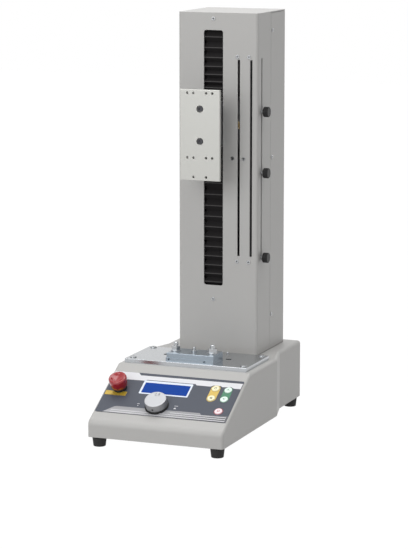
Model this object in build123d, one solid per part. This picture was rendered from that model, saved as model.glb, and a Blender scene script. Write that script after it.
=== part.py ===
from build123d import *
import math
import os

# Motorized test stand: a base with a control panel and a driven column.
# Millimetres. X runs to the right, Y runs back, Z runs up. The origin lies on the
# surface that the feet stand on, in the middle of the stand's width and depth.
# Distances called setback are measured back from the base's front face.

# Base housing
base_rear_width = 205.0
base_rear_margin = 21.0
jog_lead = 7.0
jog_run = 54.0
front_height = 26.0
slope_run = 125.0
housing_wall = 3.0
front_bend_radius = 12.0
deck_bend_radius = 7.0
edge_radius = 5.0
jog_radius = 12.0
rear_fitting_proud = 3.0

# Feet and bottom plate
foot_height = 16.5
foot_top_radius = 12.0
foot_bottom_radius = 10.0
foot_inset = 15.0
foot_screw_radius = 2.5
foot_screw_head_radius = 4.5
foot_screw_head_height = 3.0
foot_recess_depth = 6.0
foot_recess_gap = 0.5
foot_edge_round = 1.2
foot_rear_outset = 1.0
foot_nut_radius = 4.6
foot_nut_height = 4.0
foot_screw_end = 1.0
bottom_plate_thickness = 3.0
bottom_screw_radius = 2.0
bottom_screw_length = 12.0
bottom_screw_head_radius = 3.8
bottom_screw_head_height = 2.0
bottom_screw_front_margin = 12.0
bottom_screw_rear_margin = 10.0
vent_count = 6
vent_setback = 150.0
vent_pitch = 12.0
vent_width = 4.0
vent_half_length = 30.0

# Base frame
frame_plate_thickness = 10.0
frame_rib_thickness = 8.0
frame_side_gap = 9.5
frame_rib_gap = 7.5
frame_front_lead = 4.5
frame_neck_lead = 5.0
frame_rear_gap = 24.0
motor_bridge_thickness = 4.0
motor_bridge_margin = 5.0

# Table
table_side_gap = 9.5
table_front_gap = 4.5
table_depth = 107.0
table_column_gap = 20.5
table_thickness = 7.0
table_corner_radius = 2.0
table_edge_bevel = 0.5
table_screw_side_inset = 10.0
table_screw_front_inset = 14.0
table_screw_rear_inset = 7.0
table_screw_radius = 3.0
table_screw_head_radius = 5.4
table_screw_head_height = 1.6
table_hole_radius = 5.0
table_socket_radius = 2.2
table_socket_floor = 0.4
table_hole_spacing = 111.0
table_hole_row = 55.5

# Fixture on the table
fixture_width = 84.0
fixture_depth = 44.0
fixture_lower_height = 6.0
fixture_upper_height = 8.0
fixture_step = 1.2
fixture_offset = 6.0
fixture_front_gap = 4.5
fixture_corner_bevel = 0.6
fixture_edge_bevel = 0.5
fixture_pin_radius = 2.0
fixture_pin_depth = 4.0
fixture_pin_left = 6.0
fixture_pin_right = 15.12
fixture_bolt_spacing = 65.0
fixture_bolt_radius = 4.0
fixture_nut_width = 13.0
fixture_nut_height = 7.0
fixture_washer_radius = 8.5
fixture_washer_thickness = 1.6
fixture_bolt_rise = 15.0
fixture_bolt_bevel = 0.9
centre_screw_radius = 2.5
centre_screw_grip = 6.0
centre_nut_radius = 4.7
centre_nut_height = 3.4
centre_screw_rise = 9.0

# Control panel, measured along the slope from the front bend
overlay_margin = 4.0
overlay_start = 24.6
overlay_length = 98.4
overlay_thickness = 0.8
overlay_corner = 2.0
lcd_width = 79.0
lcd_length = 24.0
lcd_s = 89.3
lcd_thickness = 2.0
lcd_cutout_margin = 1.0
key_radius = 6.4
key_rise = 1.3
key_skirt = 2.0
key_edge_round = 0.8
key_travel = 0.5
key_stem_radius = 2.0
key_switch_half_width = 3.0
mode_key_upper_s = 100.6
mode_key_lower_s = 77.3
up_key_s = 99.4
down_key_s = 77.4
stop_key_s = 48.8
dial_lcd_offset = -0.9
dial_s = 48.2
dial_radius = 18.0
dial_height = 12.0
dial_ring_radius = 19.5
dial_ring_height = 3.0
dial_edge_round = 0.8
dial_ring_bevel = 1.0
dial_dimple_radius = 4.0
dial_dimple_margin = 2.5
dial_shaft_radius = 3.0
dial_shaft_depth = 6.0
dial_shaft_gap = 1.5
encoder_radius = 13.0
encoder_depth = 18.0
estop_s = 82.4
estop_head_radius = 15.5
estop_head_height = 14.0
estop_collar_radius = 15.0
estop_collar_height = 7.0
estop_stem_radius = 8.0
estop_barrel_radius = 11.0
estop_barrel_depth = 34.0
estop_barrel_floor = 8.0
estop_nut_rim = 3.0
estop_nut_height = 4.0
estop_pin_radius = 4.0
estop_pin_height = 6.0
estop_travel = 4.0
estop_dish_depth = 3.0
estop_dish_rim = 3.5
estop_edge = 2.5
board_thickness = 1.6
board_drop = 8.4
board_standoff_radius = 3.2
board_screw_radius = 1.5
board_half_length = 17.0
board_left_margin = 10.0
board_right_margin = 14.4
board_leg_margin = 11.4
board_leg_start = 40.0
board_screw_low_s = 60.0
board_edge_to_screw = 4.0

# Spacing of the controls, from the left edge of the printed sheet to its right edge
estop_edge_gap = 23.5
estop_to_lcd = 78.4
lcd_to_mode_keys = 83.0
mode_to_arrow_keys = 22.2
arrow_keys_edge_gap = 19.9

# Column and covers
column_width = 141.0
column_offset = 8.0
column_head_margin = 29.0
column_corner_radius = 5.0
cover_wall = 2.0
cover_seam = 62.0
cover_seam_gap = 0.6
cover_foot_gap = 0.8
cover_flange_thickness = 2.0
cover_flange_lap = 8.0
cover_flange_depth = 12.0
window_side_gap = 2.0
window_corner_radius = 4.0
slit_width = 4.0
slit_one_inset = 5.0
slit_two_inset = 11.7
slit_margin = 3.0
side_slit_width = 5.6
side_slit_setback = 19.0
side_slit_top_rise = 2.0
cover_screw_radius = 1.5
cover_screw_head_radius = 3.2
cover_screw_head_height = 1.0
cover_screw_edge_round = 0.6
cover_screw_length = 8.0
cover_screw_setback = 6.5
cover_screw_top_gap = 15.0
cover_screw_low_rise = 60.0
cover_screw_middle_drop = 3.0
slit_screw_rise = 5.0
slit_screw_drop = 9.5
slit_screw_shift = 2.5
slit_one_screw_gap = 11.0
slit_two_screw_gap = 13.0

# Carriage and gauge plate
arm_height = 75.0
arm_width = 30.0
arm_web = 14.0
arm_border = 12.0
arm_pocket_gap = 6.0
travel_up = 100.0
travel_down = 210.0
folded_upper = 17.5
folded_lower = 25.1
gauge_plate_width = 70.0
gauge_plate_height = 150.0
gauge_plate_thickness = 6.0
gauge_plate_reach = 61.0
gauge_plate_drop = 13.0
gauge_plate_bevel = 0.5
gauge_hole_radius = 2.2
gauge_outer_spacing = 43.5
gauge_inner_spacing = 22.0
gauge_row_margin = 5.8
gauge_row_spacing = 106.5
gauge_screw_top_margin = 7.35
gauge_screw_bottom_margin = 14.35
gauge_screw_length = 14.0
gauge_socket_radius = 2.9
gauge_socket_depth = 2.0
gauge_screw_radius = 3.0
gauge_screw_head_radius = 5.0
gauge_screw_head_height = 3.4
gauge_counterbore_radius = 6.0
gauge_counterbore_depth = 4.0
carriage_setback = 40.0
carriage_side_gap = 2.0
carriage_depth = 45.0
carriage_height = 84.0
arm_foot_side_gap = 14.0
arm_foot_thickness = 8.0
pointer_thickness = 1.6
pointer_height = 11.6
pointer_drop = 1.5
pointer_foot_width = 12.0
pointer_foot_thickness = 3.0
pointer_tip_recess = 0.6

# Column drive
backbone_side_gap = 10.5
backbone_gap = 3.0
backbone_rear_gap = 2.0
backbone_thickness = 18.0
backbone_flange = 6.0
backbone_depth = 42.0
rail_width = 14.0
rail_thickness = 11.0
rail_inset = 18.0
rail_end_gap = 2.0
screw_setback_in_carriage = 18.0
screw_radius = 8.0
screw_journal_radius = 6.0
nut_radius = 14.0
nut_flange_radius = 20.0
nut_flange_thickness = 6.0
nut_length = 45.0
bearing_height = 25.0
bearing_half_width = 30.0
bearing_depth = 40.0
bearing_corner = 2.0
frame_screw_hole_gap = 4.0
deck_opening_front = 2.0
deck_opening_rear = 1.5
deck_opening_side = 4.0
head_plate_thickness = 14.0
head_boss_radius = 17.0
head_boss_height = 16.0
head_plate_side_gap = 0.2
head_screw_drop = 8.0
cross_plate_rise = 63.9
cross_plate_thickness = 13.0
cross_plate_depth = 40.0
cross_plate_drop = 17.0
cross_plate_hole_radius = 12.0

# Belt drive
pulley_height = 14.0
pulley_flange_thickness = 1.6
pulley_flange_rise = 2.0
screw_pulley_radius = 24.0
motor_pulley_radius = 12.0
pulley_top_gap = 3.5
belt_thickness = 1.5
belt_side_clearance = 0.4
pulley_spacing = 100.0
pulley_bridge_gap = 2.0
motor_floor_gap = 4.5
motor_width = 57.0
motor_height = 54.0
motor_corner = 5.0
motor_boss_radius = 19.0
motor_shaft_radius = 4.0
motor_shaft_depth = 12.0

# Bellows
bellows_side_lap = 3.0
bellows_end_lap = 8.0
bellows_depth = 12.0
bellows_sheet = 1.4
upper_pleats = 9
lower_pleats = 9

# Limit stops
limit_rail_inset = 18.0
limit_rail_thickness = 5.0
limit_rail_depth = 31.0
limit_rail_overrun = 15.0
slider_height = 18.0
slider_depth = 20.0
stud_radius = 2.5
knob_radius = 8.5
knob_length = 9.0
knob_gap = 4.2
knob_flutes = 24
knob_flute_radius = 0.7
knob_edge_bevel = 0.6
knob_cap = 2.0
upper_stop_rise = 21.0
middle_stop_drop = 81.0
lower_stop_drop = 3.2
side_slit_end_gap = 1.0

# Electronics in the base
control_board_width = 150.0
control_board_depth = 80.0
control_board_setback = 34.0
control_board_lift = 6.0
control_post_radius = 3.0
control_post_inset = 5.0
chip_count = 4
chip_pitch = 32.0
chip_side_margin = 20.0
chip_front_margin = 20.0
chip_width = 14.0
chip_length = 24.0
chip_height = 9.0
supply_width = 48.0
supply_depth = 112.0
supply_height = 40.0
supply_rear_gap = 34.0
supply_gap = 3.0
supply_vent_count = 6
supply_vent_pitch = 16.0
supply_vent_start = 12.0
supply_vent_width = 6.0
supply_vent_margin = 8.0
supply_vent_depth = 1.5

# Rear fittings
inlet_x = -60.0
inlet_height = 42.0
inlet_flange_width = 48.0
inlet_flange_height = 27.0
inlet_body_width = 27.0
inlet_body_height = 20.0
inlet_body_depth = 26.0
inlet_side_wall = 1.5
inlet_end_wall = 2.0
inlet_socket_depth = 16.0
inlet_corner_radius = 3.0
contact_spacing = 7.0
contact_rise = 2.5
contact_drop = 1.5
contact_half_width = 1.0
contact_half_height = 2.0
contact_recess = 3.0
rear_flange_proud = 1.6
switch_x = -12.0
switch_width = 15.0
switch_height = 24.0
switch_depth = 18.0
switch_wall = 1.6
switch_flange = 2.0
switch_well_depth = 9.0
rocker_tilt = 8.0
rocker_end_gap = 0.9
rocker_pivot_depth = 4.0
rocker_low = 2.6
rocker_high = 5.6
rocker_middle = 4.6
rocker_tail = 3.2
rocker_tail_half_width = 2.5
connector_x = 52.0
connector_width = 54.0
connector_height = 12.5
connector_shell_width = 39.0
connector_shell_height = 8.4
connector_depth = 10.0
connector_plate_thickness = 1.0
connector_shell_wall = 0.8
connector_mouth_depth = 6.0

# Clearances
clearance = 0.3
slide_clearance = 0.5
drill_clearance = 0.5
# How far a cutting shape runs past the face that it cuts
overcut = 1.0

# Sizes that follow from what has to fit side by side, one behind or above another
overlay_width = estop_edge_gap + estop_to_lcd + lcd_to_mode_keys + mode_to_arrow_keys
overlay_width += arrow_keys_edge_gap
base_width = overlay_width + 2 * overlay_margin
base_height = bottom_plate_thickness + motor_floor_gap + motor_height + motor_bridge_thickness
base_height += pulley_bridge_gap + pulley_height + pulley_top_gap
base_height += frame_plate_thickness + housing_wall
table_setback = slope_run + table_front_gap
column_setback = table_setback + table_depth + table_column_gap
column_depth = carriage_setback + carriage_depth + backbone_gap + backbone_depth
column_depth += backbone_rear_gap + cover_wall
base_depth = column_setback + column_depth + base_rear_margin
jog_start = column_setback - jog_lead
jog_end = jog_start + jog_run
table_width = base_width - 2 * table_side_gap
frame_front_half_width = base_width / 2 - frame_side_gap
frame_rib_half_width = min(base_width, base_rear_width) / 2 - frame_rib_gap
backbone_half_width = column_width / 2 - column_offset - backbone_side_gap
carriage_width = 2 * (backbone_half_width - carriage_side_gap)
arm_foot_width = carriage_width - 2 * arm_foot_side_gap
rail_spacing = 2 * (backbone_half_width - rail_inset)
window_width = arm_width + 2 * window_side_gap
bellows_width = window_width + 2 * bellows_side_lap
inlet_socket_width = inlet_body_width - 2 * inlet_side_wall
inlet_socket_height = inlet_body_height - 2 * inlet_end_wall
rocker_length = switch_height - 2 * (switch_wall + rocker_end_gap)

# Places worked out from the sizes above
front_y = -(base_depth + rear_fitting_proud) / 2
rear_y = front_y + base_depth
base_z = foot_height
deck_z = base_z + base_height
slope_angle = math.atan2(base_height - front_height, slope_run)
table_y0 = front_y + table_setback
table_top = deck_z + table_thickness
fixture_y0 = table_y0 + fixture_front_gap
column_front = front_y + column_setback
column_rear = column_front + column_depth
gauge_plate_y0 = column_front - gauge_plate_reach
column_left = column_offset - column_width / 2
column_right = column_offset + column_width / 2
seam_y = column_front + cover_seam
frame_top = deck_z - housing_wall
bearing_top = frame_top + bearing_height
cross_plate_top = bearing_top + cross_plate_rise + cross_plate_thickness
arm_z = cross_plate_top + cross_plate_drop + folded_lower + travel_down + arm_height / 2
window_top = arm_z + arm_height / 2 + travel_up + folded_upper
window_bottom = arm_z - arm_height / 2 - travel_down - folded_lower
column_top = window_top + column_head_margin
pointer_z = arm_z - pointer_drop
slit_top = pointer_z + pointer_height / 2 + travel_up + slit_margin
slit_bottom = pointer_z - pointer_height / 2 - travel_down - slit_margin
side_slit_y = column_front + side_slit_setback
carriage_front = column_front + carriage_setback
carriage_rear = carriage_front + carriage_depth
backbone_y = carriage_rear + backbone_gap
frame_bottom = frame_top - frame_plate_thickness
plate_top = base_z + bottom_plate_thickness
screw_y = carriage_front + screw_setback_in_carriage
pulley_top = frame_bottom - pulley_top_gap
pulley_bottom = pulley_top - pulley_height
motor_y = screw_y - pulley_spacing
motor_top = pulley_bottom - pulley_bridge_gap - motor_bridge_thickness
head_plate_top = column_top - cover_wall
head_plate_bottom = head_plate_top - head_plate_thickness
inlet_z = base_z + inlet_height
estop_x = -overlay_width / 2 + estop_edge_gap
lcd_x = estop_x + estop_to_lcd
dial_x = lcd_x + dial_lcd_offset
mode_key_x = lcd_x + lcd_to_mode_keys
arrow_key_x = mode_key_x + mode_to_arrow_keys
slit_one_x = carriage_width / 2 - slit_one_inset
slit_two_x = column_right - slit_two_inset
limit_rail_x = column_right - limit_rail_inset
panel = Plane(
    origin=(0, front_y, base_z + front_height),
    x_dir=(1, 0, 0),
    z_dir=(0, -math.sin(slope_angle), math.cos(slope_angle)),
)
keys = {
    "mode_key_upper": (mode_key_x, mode_key_upper_s),
    "mode_key_lower": (mode_key_x, mode_key_lower_s),
    "up_key": (arrow_key_x, up_key_s),
    "down_key": (arrow_key_x, down_key_s),
    "stop_key": (arrow_key_x, stop_key_s),
}
stops = {
    "upper": arm_z + upper_stop_rise,
    "middle": arm_z - middle_stop_drop,
    "lower": slit_bottom - lower_stop_drop,
}


def block(x0, x1, y0, y1, z0, z1):
    """A box between two opposite corners."""
    middle = Pos((x0 + x1) / 2, (y0 + y1) / 2, (z0 + z1) / 2)
    return middle * Box(x1 - x0, y1 - y0, z1 - z0)


def upright(x, y, z0, z1, radius):
    """A cylinder along Z."""
    return Pos(x, y, (z0 + z1) / 2) * Cylinder(radius, z1 - z0)


def across(x0, x1, y, z, radius):
    """A cylinder along X."""
    return Pos((x0 + x1) / 2, y, z) * Rot(0, 90, 0) * Cylinder(radius, x1 - x0)


def along(x, y0, y1, z, radius):
    """A cylinder along Y."""
    return Pos(x, (y0 + y1) / 2, z) * Rot(90, 0, 0) * Cylinder(radius, y1 - y0)


def on_panel(x, s, h0, h1, radius):
    """A cylinder square to the sloped panel, from height h0 to h1 above it."""
    return panel.location * Pos(x, s, (h0 + h1) / 2) * Cylinder(radius, h1 - h0)


def panel_block(x0, x1, s0, s1, h0, h1):
    """A box on the sloped panel."""
    middle = Pos((x0 + x1) / 2, (s0 + s1) / 2, (h0 + h1) / 2)
    return panel.location * middle * Box(x1 - x0, s1 - s0, h1 - h0)


def rounded_block(x0, x1, y0, y1, z0, z1, radius):
    """A box with its four upright edges rounded."""
    outline = Pos((x0 + x1) / 2, (y0 + y1) / 2, z0) * RectangleRounded(x1 - x0, y1 - y0, radius)
    return extrude(outline, amount=z1 - z0)


def base_plan(inset, z0, z1):
    """The base's plan, narrower at the rear, set in from the outer faces."""
    wide = base_width / 2 - inset
    narrow = base_rear_width / 2 - inset
    y0 = front_y + inset
    y1 = rear_y - inset
    ya = front_y + jog_start
    yb = front_y + jog_end
    corners = [(-wide, y0), (wide, y0), (wide, ya), (narrow, yb), (narrow, y1)]
    corners += [(-narrow, y1), (-narrow, yb), (-wide, ya)]
    plan = make_face(Polyline(*corners, close=True))
    bends = [v for v in plan.vertices() if y0 + 1 < v.Y < y1 - 1]
    plan = fillet(bends, jog_radius)
    return extrude(Pos(0, 0, z0) * plan, amount=z1 - z0)


def base_profile(inset):
    """The base's side outline set in by a wall, drawn out across its width."""
    y0 = front_y + inset
    y1 = rear_y - inset
    top = deck_z - inset
    tangent = math.tan(slope_angle)
    start_y = front_y + inset * math.sin(slope_angle)
    start_z = base_z + front_height - inset * math.cos(slope_angle)
    bend_z = start_z + (y0 - start_y) * tangent
    bend_y = start_y + (top - start_z) / tangent
    points = [(y0, base_z), (y0, bend_z), (bend_y, top), (y1, top), (y1, base_z)]
    side = make_face(Polyline(*points, close=True))
    front_bend = side.vertices().sort_by_distance((y0, bend_z))[0]
    side = fillet(front_bend, front_bend_radius - inset)
    deck_bend = side.vertices().sort_by_distance((bend_y, top))[0]
    side = fillet(deck_bend, deck_bend_radius - inset)
    return extrude(Plane.YZ * side, amount=base_width, both=True)


def is_soft_edge(edge):
    """True for the outer edges of the base that are rounded."""
    middle = edge.center()
    way = edge.tangent_at(0.5)
    if middle.Z < base_z + 0.5:
        return False
    if abs(way.X) > 0.99:
        return middle.Y > rear_y - 0.1
    if abs(way.Z) > 0.99:
        return middle.Y < front_y + 0.1 or middle.Y > rear_y - 0.1
    return True


def table_screw_places():
    """Middle points of the four table screws."""
    x = table_width / 2 - table_screw_side_inset
    near = table_y0 + table_screw_front_inset
    far = table_y0 + table_depth - table_screw_rear_inset
    return [(side * x, y) for side in (-1, 1) for y in (near, far)]


def foot_places():
    """Middle points of the four feet."""
    front = base_width / 2 - foot_inset
    rear = base_rear_width / 2 - foot_inset + foot_rear_outset
    return [
        (-front, front_y + foot_inset),
        (front, front_y + foot_inset),
        (-rear, rear_y - foot_inset),
        (rear, rear_y - foot_inset),
    ]


def make_base_housing():
    """Hollow housing with its deck, sloped panel and openings."""
    body = base_profile(0) & base_plan(0, base_z, deck_z)
    body = fillet([e for e in body.edges() if is_soft_edge(e)], edge_radius)
    cavity = base_profile(housing_wall) & base_plan(housing_wall, base_z, deck_z)
    body -= cavity
    deep = -housing_wall - overcut
    half_x = lcd_width / 2 + lcd_cutout_margin
    half_s = lcd_length / 2 + lcd_cutout_margin
    body -= panel_block(lcd_x - half_x, lcd_x + half_x, lcd_s - half_s, lcd_s + half_s, deep, overcut)
    for x, s in keys.values():
        body -= on_panel(x, s, deep, overcut, key_radius + slide_clearance)
    body -= on_panel(dial_x, dial_s, deep, overcut, dial_shaft_radius + dial_shaft_gap)
    body -= on_panel(estop_x, estop_s, deep, overcut, estop_barrel_radius)
    for x, s in board_screw_places():
        body += on_panel(x, s, -board_drop, -housing_wall + overcut, board_standoff_radius)
        body -= on_panel(x, s, -board_drop - overcut, -housing_wall, board_screw_radius)
    half = backbone_half_width + deck_opening_side
    opening_y0 = screw_y - bearing_depth / 2 - deck_opening_front
    opening_y1 = backbone_y + backbone_depth + deck_opening_rear
    low = frame_top - overcut
    body -= block(-half, half, opening_y0, opening_y1, low, deck_z + overcut)
    for x, y in table_screw_places():
        body -= upright(x, y, low, deck_z + overcut, table_screw_radius)
    deep_y = rear_y - housing_wall - overcut
    for x, wide, high in rear_cutouts():
        z0 = inlet_z - high / 2
        body -= block(x - wide / 2, x + wide / 2, deep_y, rear_y + overcut, z0, z0 + high)
    return body


def rear_cutouts():
    """Middle, width and height of each opening in the rear wall."""
    return [
        (inlet_x, inlet_body_width, inlet_body_height),
        (switch_x, switch_width, switch_height),
        (connector_x, connector_shell_width, connector_shell_height),
    ]


def board_screw_places():
    """Middle points of the panel board's screws on the slope."""
    left = lcd_x - lcd_width / 2 - board_left_margin + board_edge_to_screw
    right = arrow_key_x + board_right_margin - board_edge_to_screw
    between = (mode_key_x + arrow_key_x) / 2
    arrow_middle = (up_key_s + down_key_s) / 2
    return [
        (left, lcd_s - lcd_length / 3),
        (left, lcd_s + lcd_length / 2),
        (right, arrow_middle),
        (right, board_screw_low_s),
        (between, board_screw_low_s),
    ]


def bottom_screw_places():
    """Middle points of the screws that hold the bottom plate to the ribs."""
    x = frame_rib_half_width - frame_rib_thickness / 2
    first = table_y0 + frame_front_lead + bottom_screw_front_margin
    last = rear_y - frame_rear_gap - bottom_screw_rear_margin
    rows = [first, (first + last) / 2, last]
    return [(side * x, y) for side in (-1, 1) for y in rows]


def make_base_bottom_plate():
    """Sheet that closes the housing from below."""
    inset = housing_wall + clearance
    plate = base_plan(inset, base_z, plate_top)
    low = base_z - overcut
    high = plate_top + overcut
    for x, y in foot_places():
        plate -= upright(x, y, low, high, foot_screw_radius)
    for x, y in bottom_screw_places():
        plate -= upright(x, y, low, high, bottom_screw_radius)
        plate -= bottom_screw_head(x, y)
    for step in range(vent_count):
        y = front_y + vent_setback + vent_pitch * step
        plate -= block(-vent_half_length, vent_half_length, y, y + vent_width, low, high)
    return plate


def bottom_screw_head(x, y):
    """Countersunk head, level with the bottom plate's lower face."""
    middle = base_z + bottom_screw_head_height / 2
    return Pos(x, y, middle) * Cone(
        bottom_screw_head_radius, bottom_screw_radius, bottom_screw_head_height
    )


def make_bottom_plate_screws():
    """Countersunk screws that hold the bottom plate to the ribs."""
    screws = []
    for x, y in bottom_screw_places():
        top = base_z + bottom_screw_length
        shank = upright(x, y, base_z + bottom_screw_head_height / 2, top, bottom_screw_radius)
        screws.append(bottom_screw_head(x, y) + shank)
    return screws


def make_rubber_feet():
    """Four tapered feet, each with a recess for its screw."""
    feet = []
    for x, y in foot_places():
        foot = Pos(x, y, foot_height / 2) * Cone(foot_bottom_radius, foot_top_radius, foot_height)
        foot = fillet(foot.faces().sort_by(Axis.Z)[0].edges(), foot_edge_round)
        recess_radius = foot_screw_head_radius + foot_recess_gap
        foot -= upright(x, y, -overcut, foot_recess_depth, recess_radius)
        foot -= upright(x, y, 0, foot_height + overcut, foot_screw_radius)
        feet.append(foot)
    return feet


def make_foot_screws():
    """Screws that hold the feet to the bottom plate, each with its nut."""
    screws = []
    for x, y in foot_places():
        under_head = foot_recess_depth
        head = upright(x, y, under_head - foot_screw_head_height, under_head, foot_screw_head_radius)
        end = plate_top + foot_nut_height + foot_screw_end
        shank = upright(x, y, under_head, end, foot_screw_radius)
        nut_outline = Pos(x, y, plate_top) * RegularPolygon(foot_nut_radius, 6)
        nut = extrude(nut_outline, amount=foot_nut_height)
        screws.append(head + shank + nut)
    return screws


def make_base_frame():
    """Welded frame: deck plate, two side ribs and the motor bridge."""
    y0 = table_y0 + frame_front_lead
    yn = front_y + jog_start - frame_neck_lead
    y1 = rear_y - frame_rear_gap
    narrow = frame_rib_half_width
    wide = frame_front_half_width
    frame = block(-wide, wide, y0, yn, frame_bottom, frame_top)
    frame += block(-narrow, narrow, yn, y1, frame_bottom, frame_top)
    for side in (-1, 1):
        inner = side * (narrow - frame_rib_thickness)
        outer = side * narrow
        frame += block(min(inner, outer), max(inner, outer), y0, y1, plate_top, frame_bottom)
    bridge_half = motor_width / 2 + motor_bridge_margin
    bridge_y0 = motor_y - bridge_half
    bridge_top = motor_top + motor_bridge_thickness
    frame += block(-narrow, narrow, bridge_y0, motor_y + bridge_half, motor_top, bridge_top)
    frame -= upright(0, motor_y, motor_top - overcut, bridge_top + overcut, motor_boss_radius)
    low = frame_bottom - overcut
    high = frame_top + overcut
    frame -= upright(0, screw_y, low, high, screw_journal_radius + frame_screw_hole_gap)
    for x, y in table_screw_places():
        frame -= upright(x, y, low, high, table_screw_radius)
    screw_end = base_z + bottom_screw_length
    for x, y in bottom_screw_places():
        frame -= upright(x, y, plate_top - overcut, screw_end, bottom_screw_radius)
    return frame


def make_table_plate():
    """Ground steel table with corner screw holes and threaded holes."""
    half = table_width / 2
    table_y1 = table_y0 + table_depth
    table = rounded_block(-half, half, table_y0, table_y1, deck_z, table_top, table_corner_radius)
    table = chamfer(table.faces().sort_by(Axis.Z)[-1].edges(), table_edge_bevel)
    low = deck_z - overcut
    high = table_top + overcut
    for x, y in table_screw_places():
        table -= upright(x, y, low, high, table_screw_radius)
    for side in (-1, 1):
        x = side * table_hole_spacing / 2
        table -= upright(x, table_y0 + table_hole_row, low, high, table_hole_radius)
    return table


def make_table_plate_screws():
    """Low-headed screws at the table's corners, down into the frame."""
    screws = []
    for x, y in table_screw_places():
        head_top = table_top + table_screw_head_height
        head = upright(x, y, table_top, head_top, table_screw_head_radius)
        head = fillet(head.faces().sort_by(Axis.Z)[-1].edges(), table_screw_head_height / 2)
        socket = Pos(x, y, table_top + table_socket_floor) * RegularPolygon(table_socket_radius, 6)
        head -= extrude(socket, amount=table_screw_head_height)
        shank = upright(x, y, frame_bottom + drill_clearance, table_top, table_screw_radius)
        screws.append(head + shank)
    return screws


def fixture_bolt_places():
    """Middle points of the fixture's two clamp bolts."""
    y = fixture_y0 + fixture_depth / 2
    half = fixture_bolt_spacing / 2
    return [(fixture_offset - half, y), (fixture_offset + half, y)]


def make_fixture_lower_plate():
    """Lower layer of the fixture, flat on the table."""
    x0 = fixture_offset - fixture_width / 2
    x1 = x0 + fixture_width
    y0 = fixture_y0
    top = table_top + fixture_lower_height
    plate = block(x0, x1, y0, y0 + fixture_depth, table_top, top)
    plate = chamfer(plate.edges().filter_by(Axis.Z), fixture_corner_bevel)
    pin_z = table_top + fixture_lower_height / 2
    for x in (x0 + fixture_pin_left, x1 - fixture_pin_right):
        plate -= along(x, y0 - overcut, y0 + fixture_pin_depth, pin_z, fixture_pin_radius)
    for x, y in fixture_bolt_places() + [centre_screw_place()]:
        plate -= upright(x, y, table_top - overcut, top + overcut, fixture_bolt_radius)
    return plate


def centre_screw_place():
    """Middle point of the fixture's centre screw."""
    return (fixture_offset, fixture_y0 + fixture_depth / 2)


def make_fixture_upper_block():
    """Upper layer of the fixture, stepped in from the lower one."""
    x0 = fixture_offset - fixture_width / 2 + fixture_step
    x1 = fixture_offset + fixture_width / 2
    y0 = fixture_y0 + fixture_step
    y1 = fixture_y0 + fixture_depth
    bottom = table_top + fixture_lower_height
    top = bottom + fixture_upper_height
    upper = block(x0, x1, y0, y1, bottom, top)
    upper = chamfer(upper.faces().sort_by(Axis.Z)[-1].edges(), fixture_edge_bevel)
    for x, y in fixture_bolt_places():
        upper -= upright(x, y, bottom - overcut, top + overcut, fixture_bolt_radius)
    x, y = centre_screw_place()
    upper -= upright(x, y, bottom - overcut, top + overcut, centre_screw_radius)
    return upper


def make_fixture_clamp_bolts():
    """Two studs with a washer and a nut each, through both layers."""
    bolts = []
    top = table_top + fixture_lower_height + fixture_upper_height
    seat = top + fixture_washer_thickness
    for x, y in fixture_bolt_places():
        bolt_low = table_top + drill_clearance
        bolt = upright(x, y, bolt_low, top + fixture_bolt_rise, fixture_bolt_radius)
        bolt = chamfer(bolt.faces().sort_by(Axis.Z)[-1].edges(), fixture_bolt_bevel)
        bolt += upright(x, y, top, seat, fixture_washer_radius)
        nut_outline = Pos(x, y, seat) * RegularPolygon(fixture_nut_width / 2, 6, major_radius=False)
        bolt += extrude(nut_outline, amount=fixture_nut_height)
        bolts.append(bolt)
    return bolts


def make_fixture_centre_screw():
    """Small screw with its nut in the middle of the fixture."""
    x, y = centre_screw_place()
    top = table_top + fixture_lower_height + fixture_upper_height
    screw = upright(x, y, top - centre_screw_grip, top + centre_screw_rise, centre_screw_radius)
    screw = chamfer(screw.faces().sort_by(Axis.Z)[-1].edges(), fixture_edge_bevel)
    return screw + upright(x, y, top, top + centre_nut_height, centre_nut_radius)


def make_panel_overlay():
    """Thin printed sheet on the slope, with an opening for each control."""
    outline = Pos(0, overlay_start + overlay_length / 2) * RectangleRounded(
        overlay_width, overlay_length, overlay_corner
    )
    sheet = panel.location * extrude(outline, amount=overlay_thickness)
    x0 = lcd_x - lcd_width / 2
    s0 = lcd_s - lcd_length / 2
    low = -overcut
    high = overlay_thickness + overcut
    sheet -= panel_block(x0, x0 + lcd_width, s0, s0 + lcd_length, low, high)
    for x, s in keys.values():
        sheet -= on_panel(x, s, low, high, key_radius + clearance)
    sheet -= on_panel(dial_x, dial_s, low, high, dial_shaft_radius + dial_shaft_gap)
    sheet -= on_panel(estop_x, estop_s, low, high, estop_barrel_radius)
    return sheet


def make_lcd_window():
    """Clear window of the display, level with the printed sheet."""
    x0 = lcd_x - lcd_width / 2
    s0 = lcd_s - lcd_length / 2
    low = overlay_thickness - lcd_thickness
    return panel_block(x0, x0 + lcd_width, s0, s0 + lcd_length, low, overlay_thickness)


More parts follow.
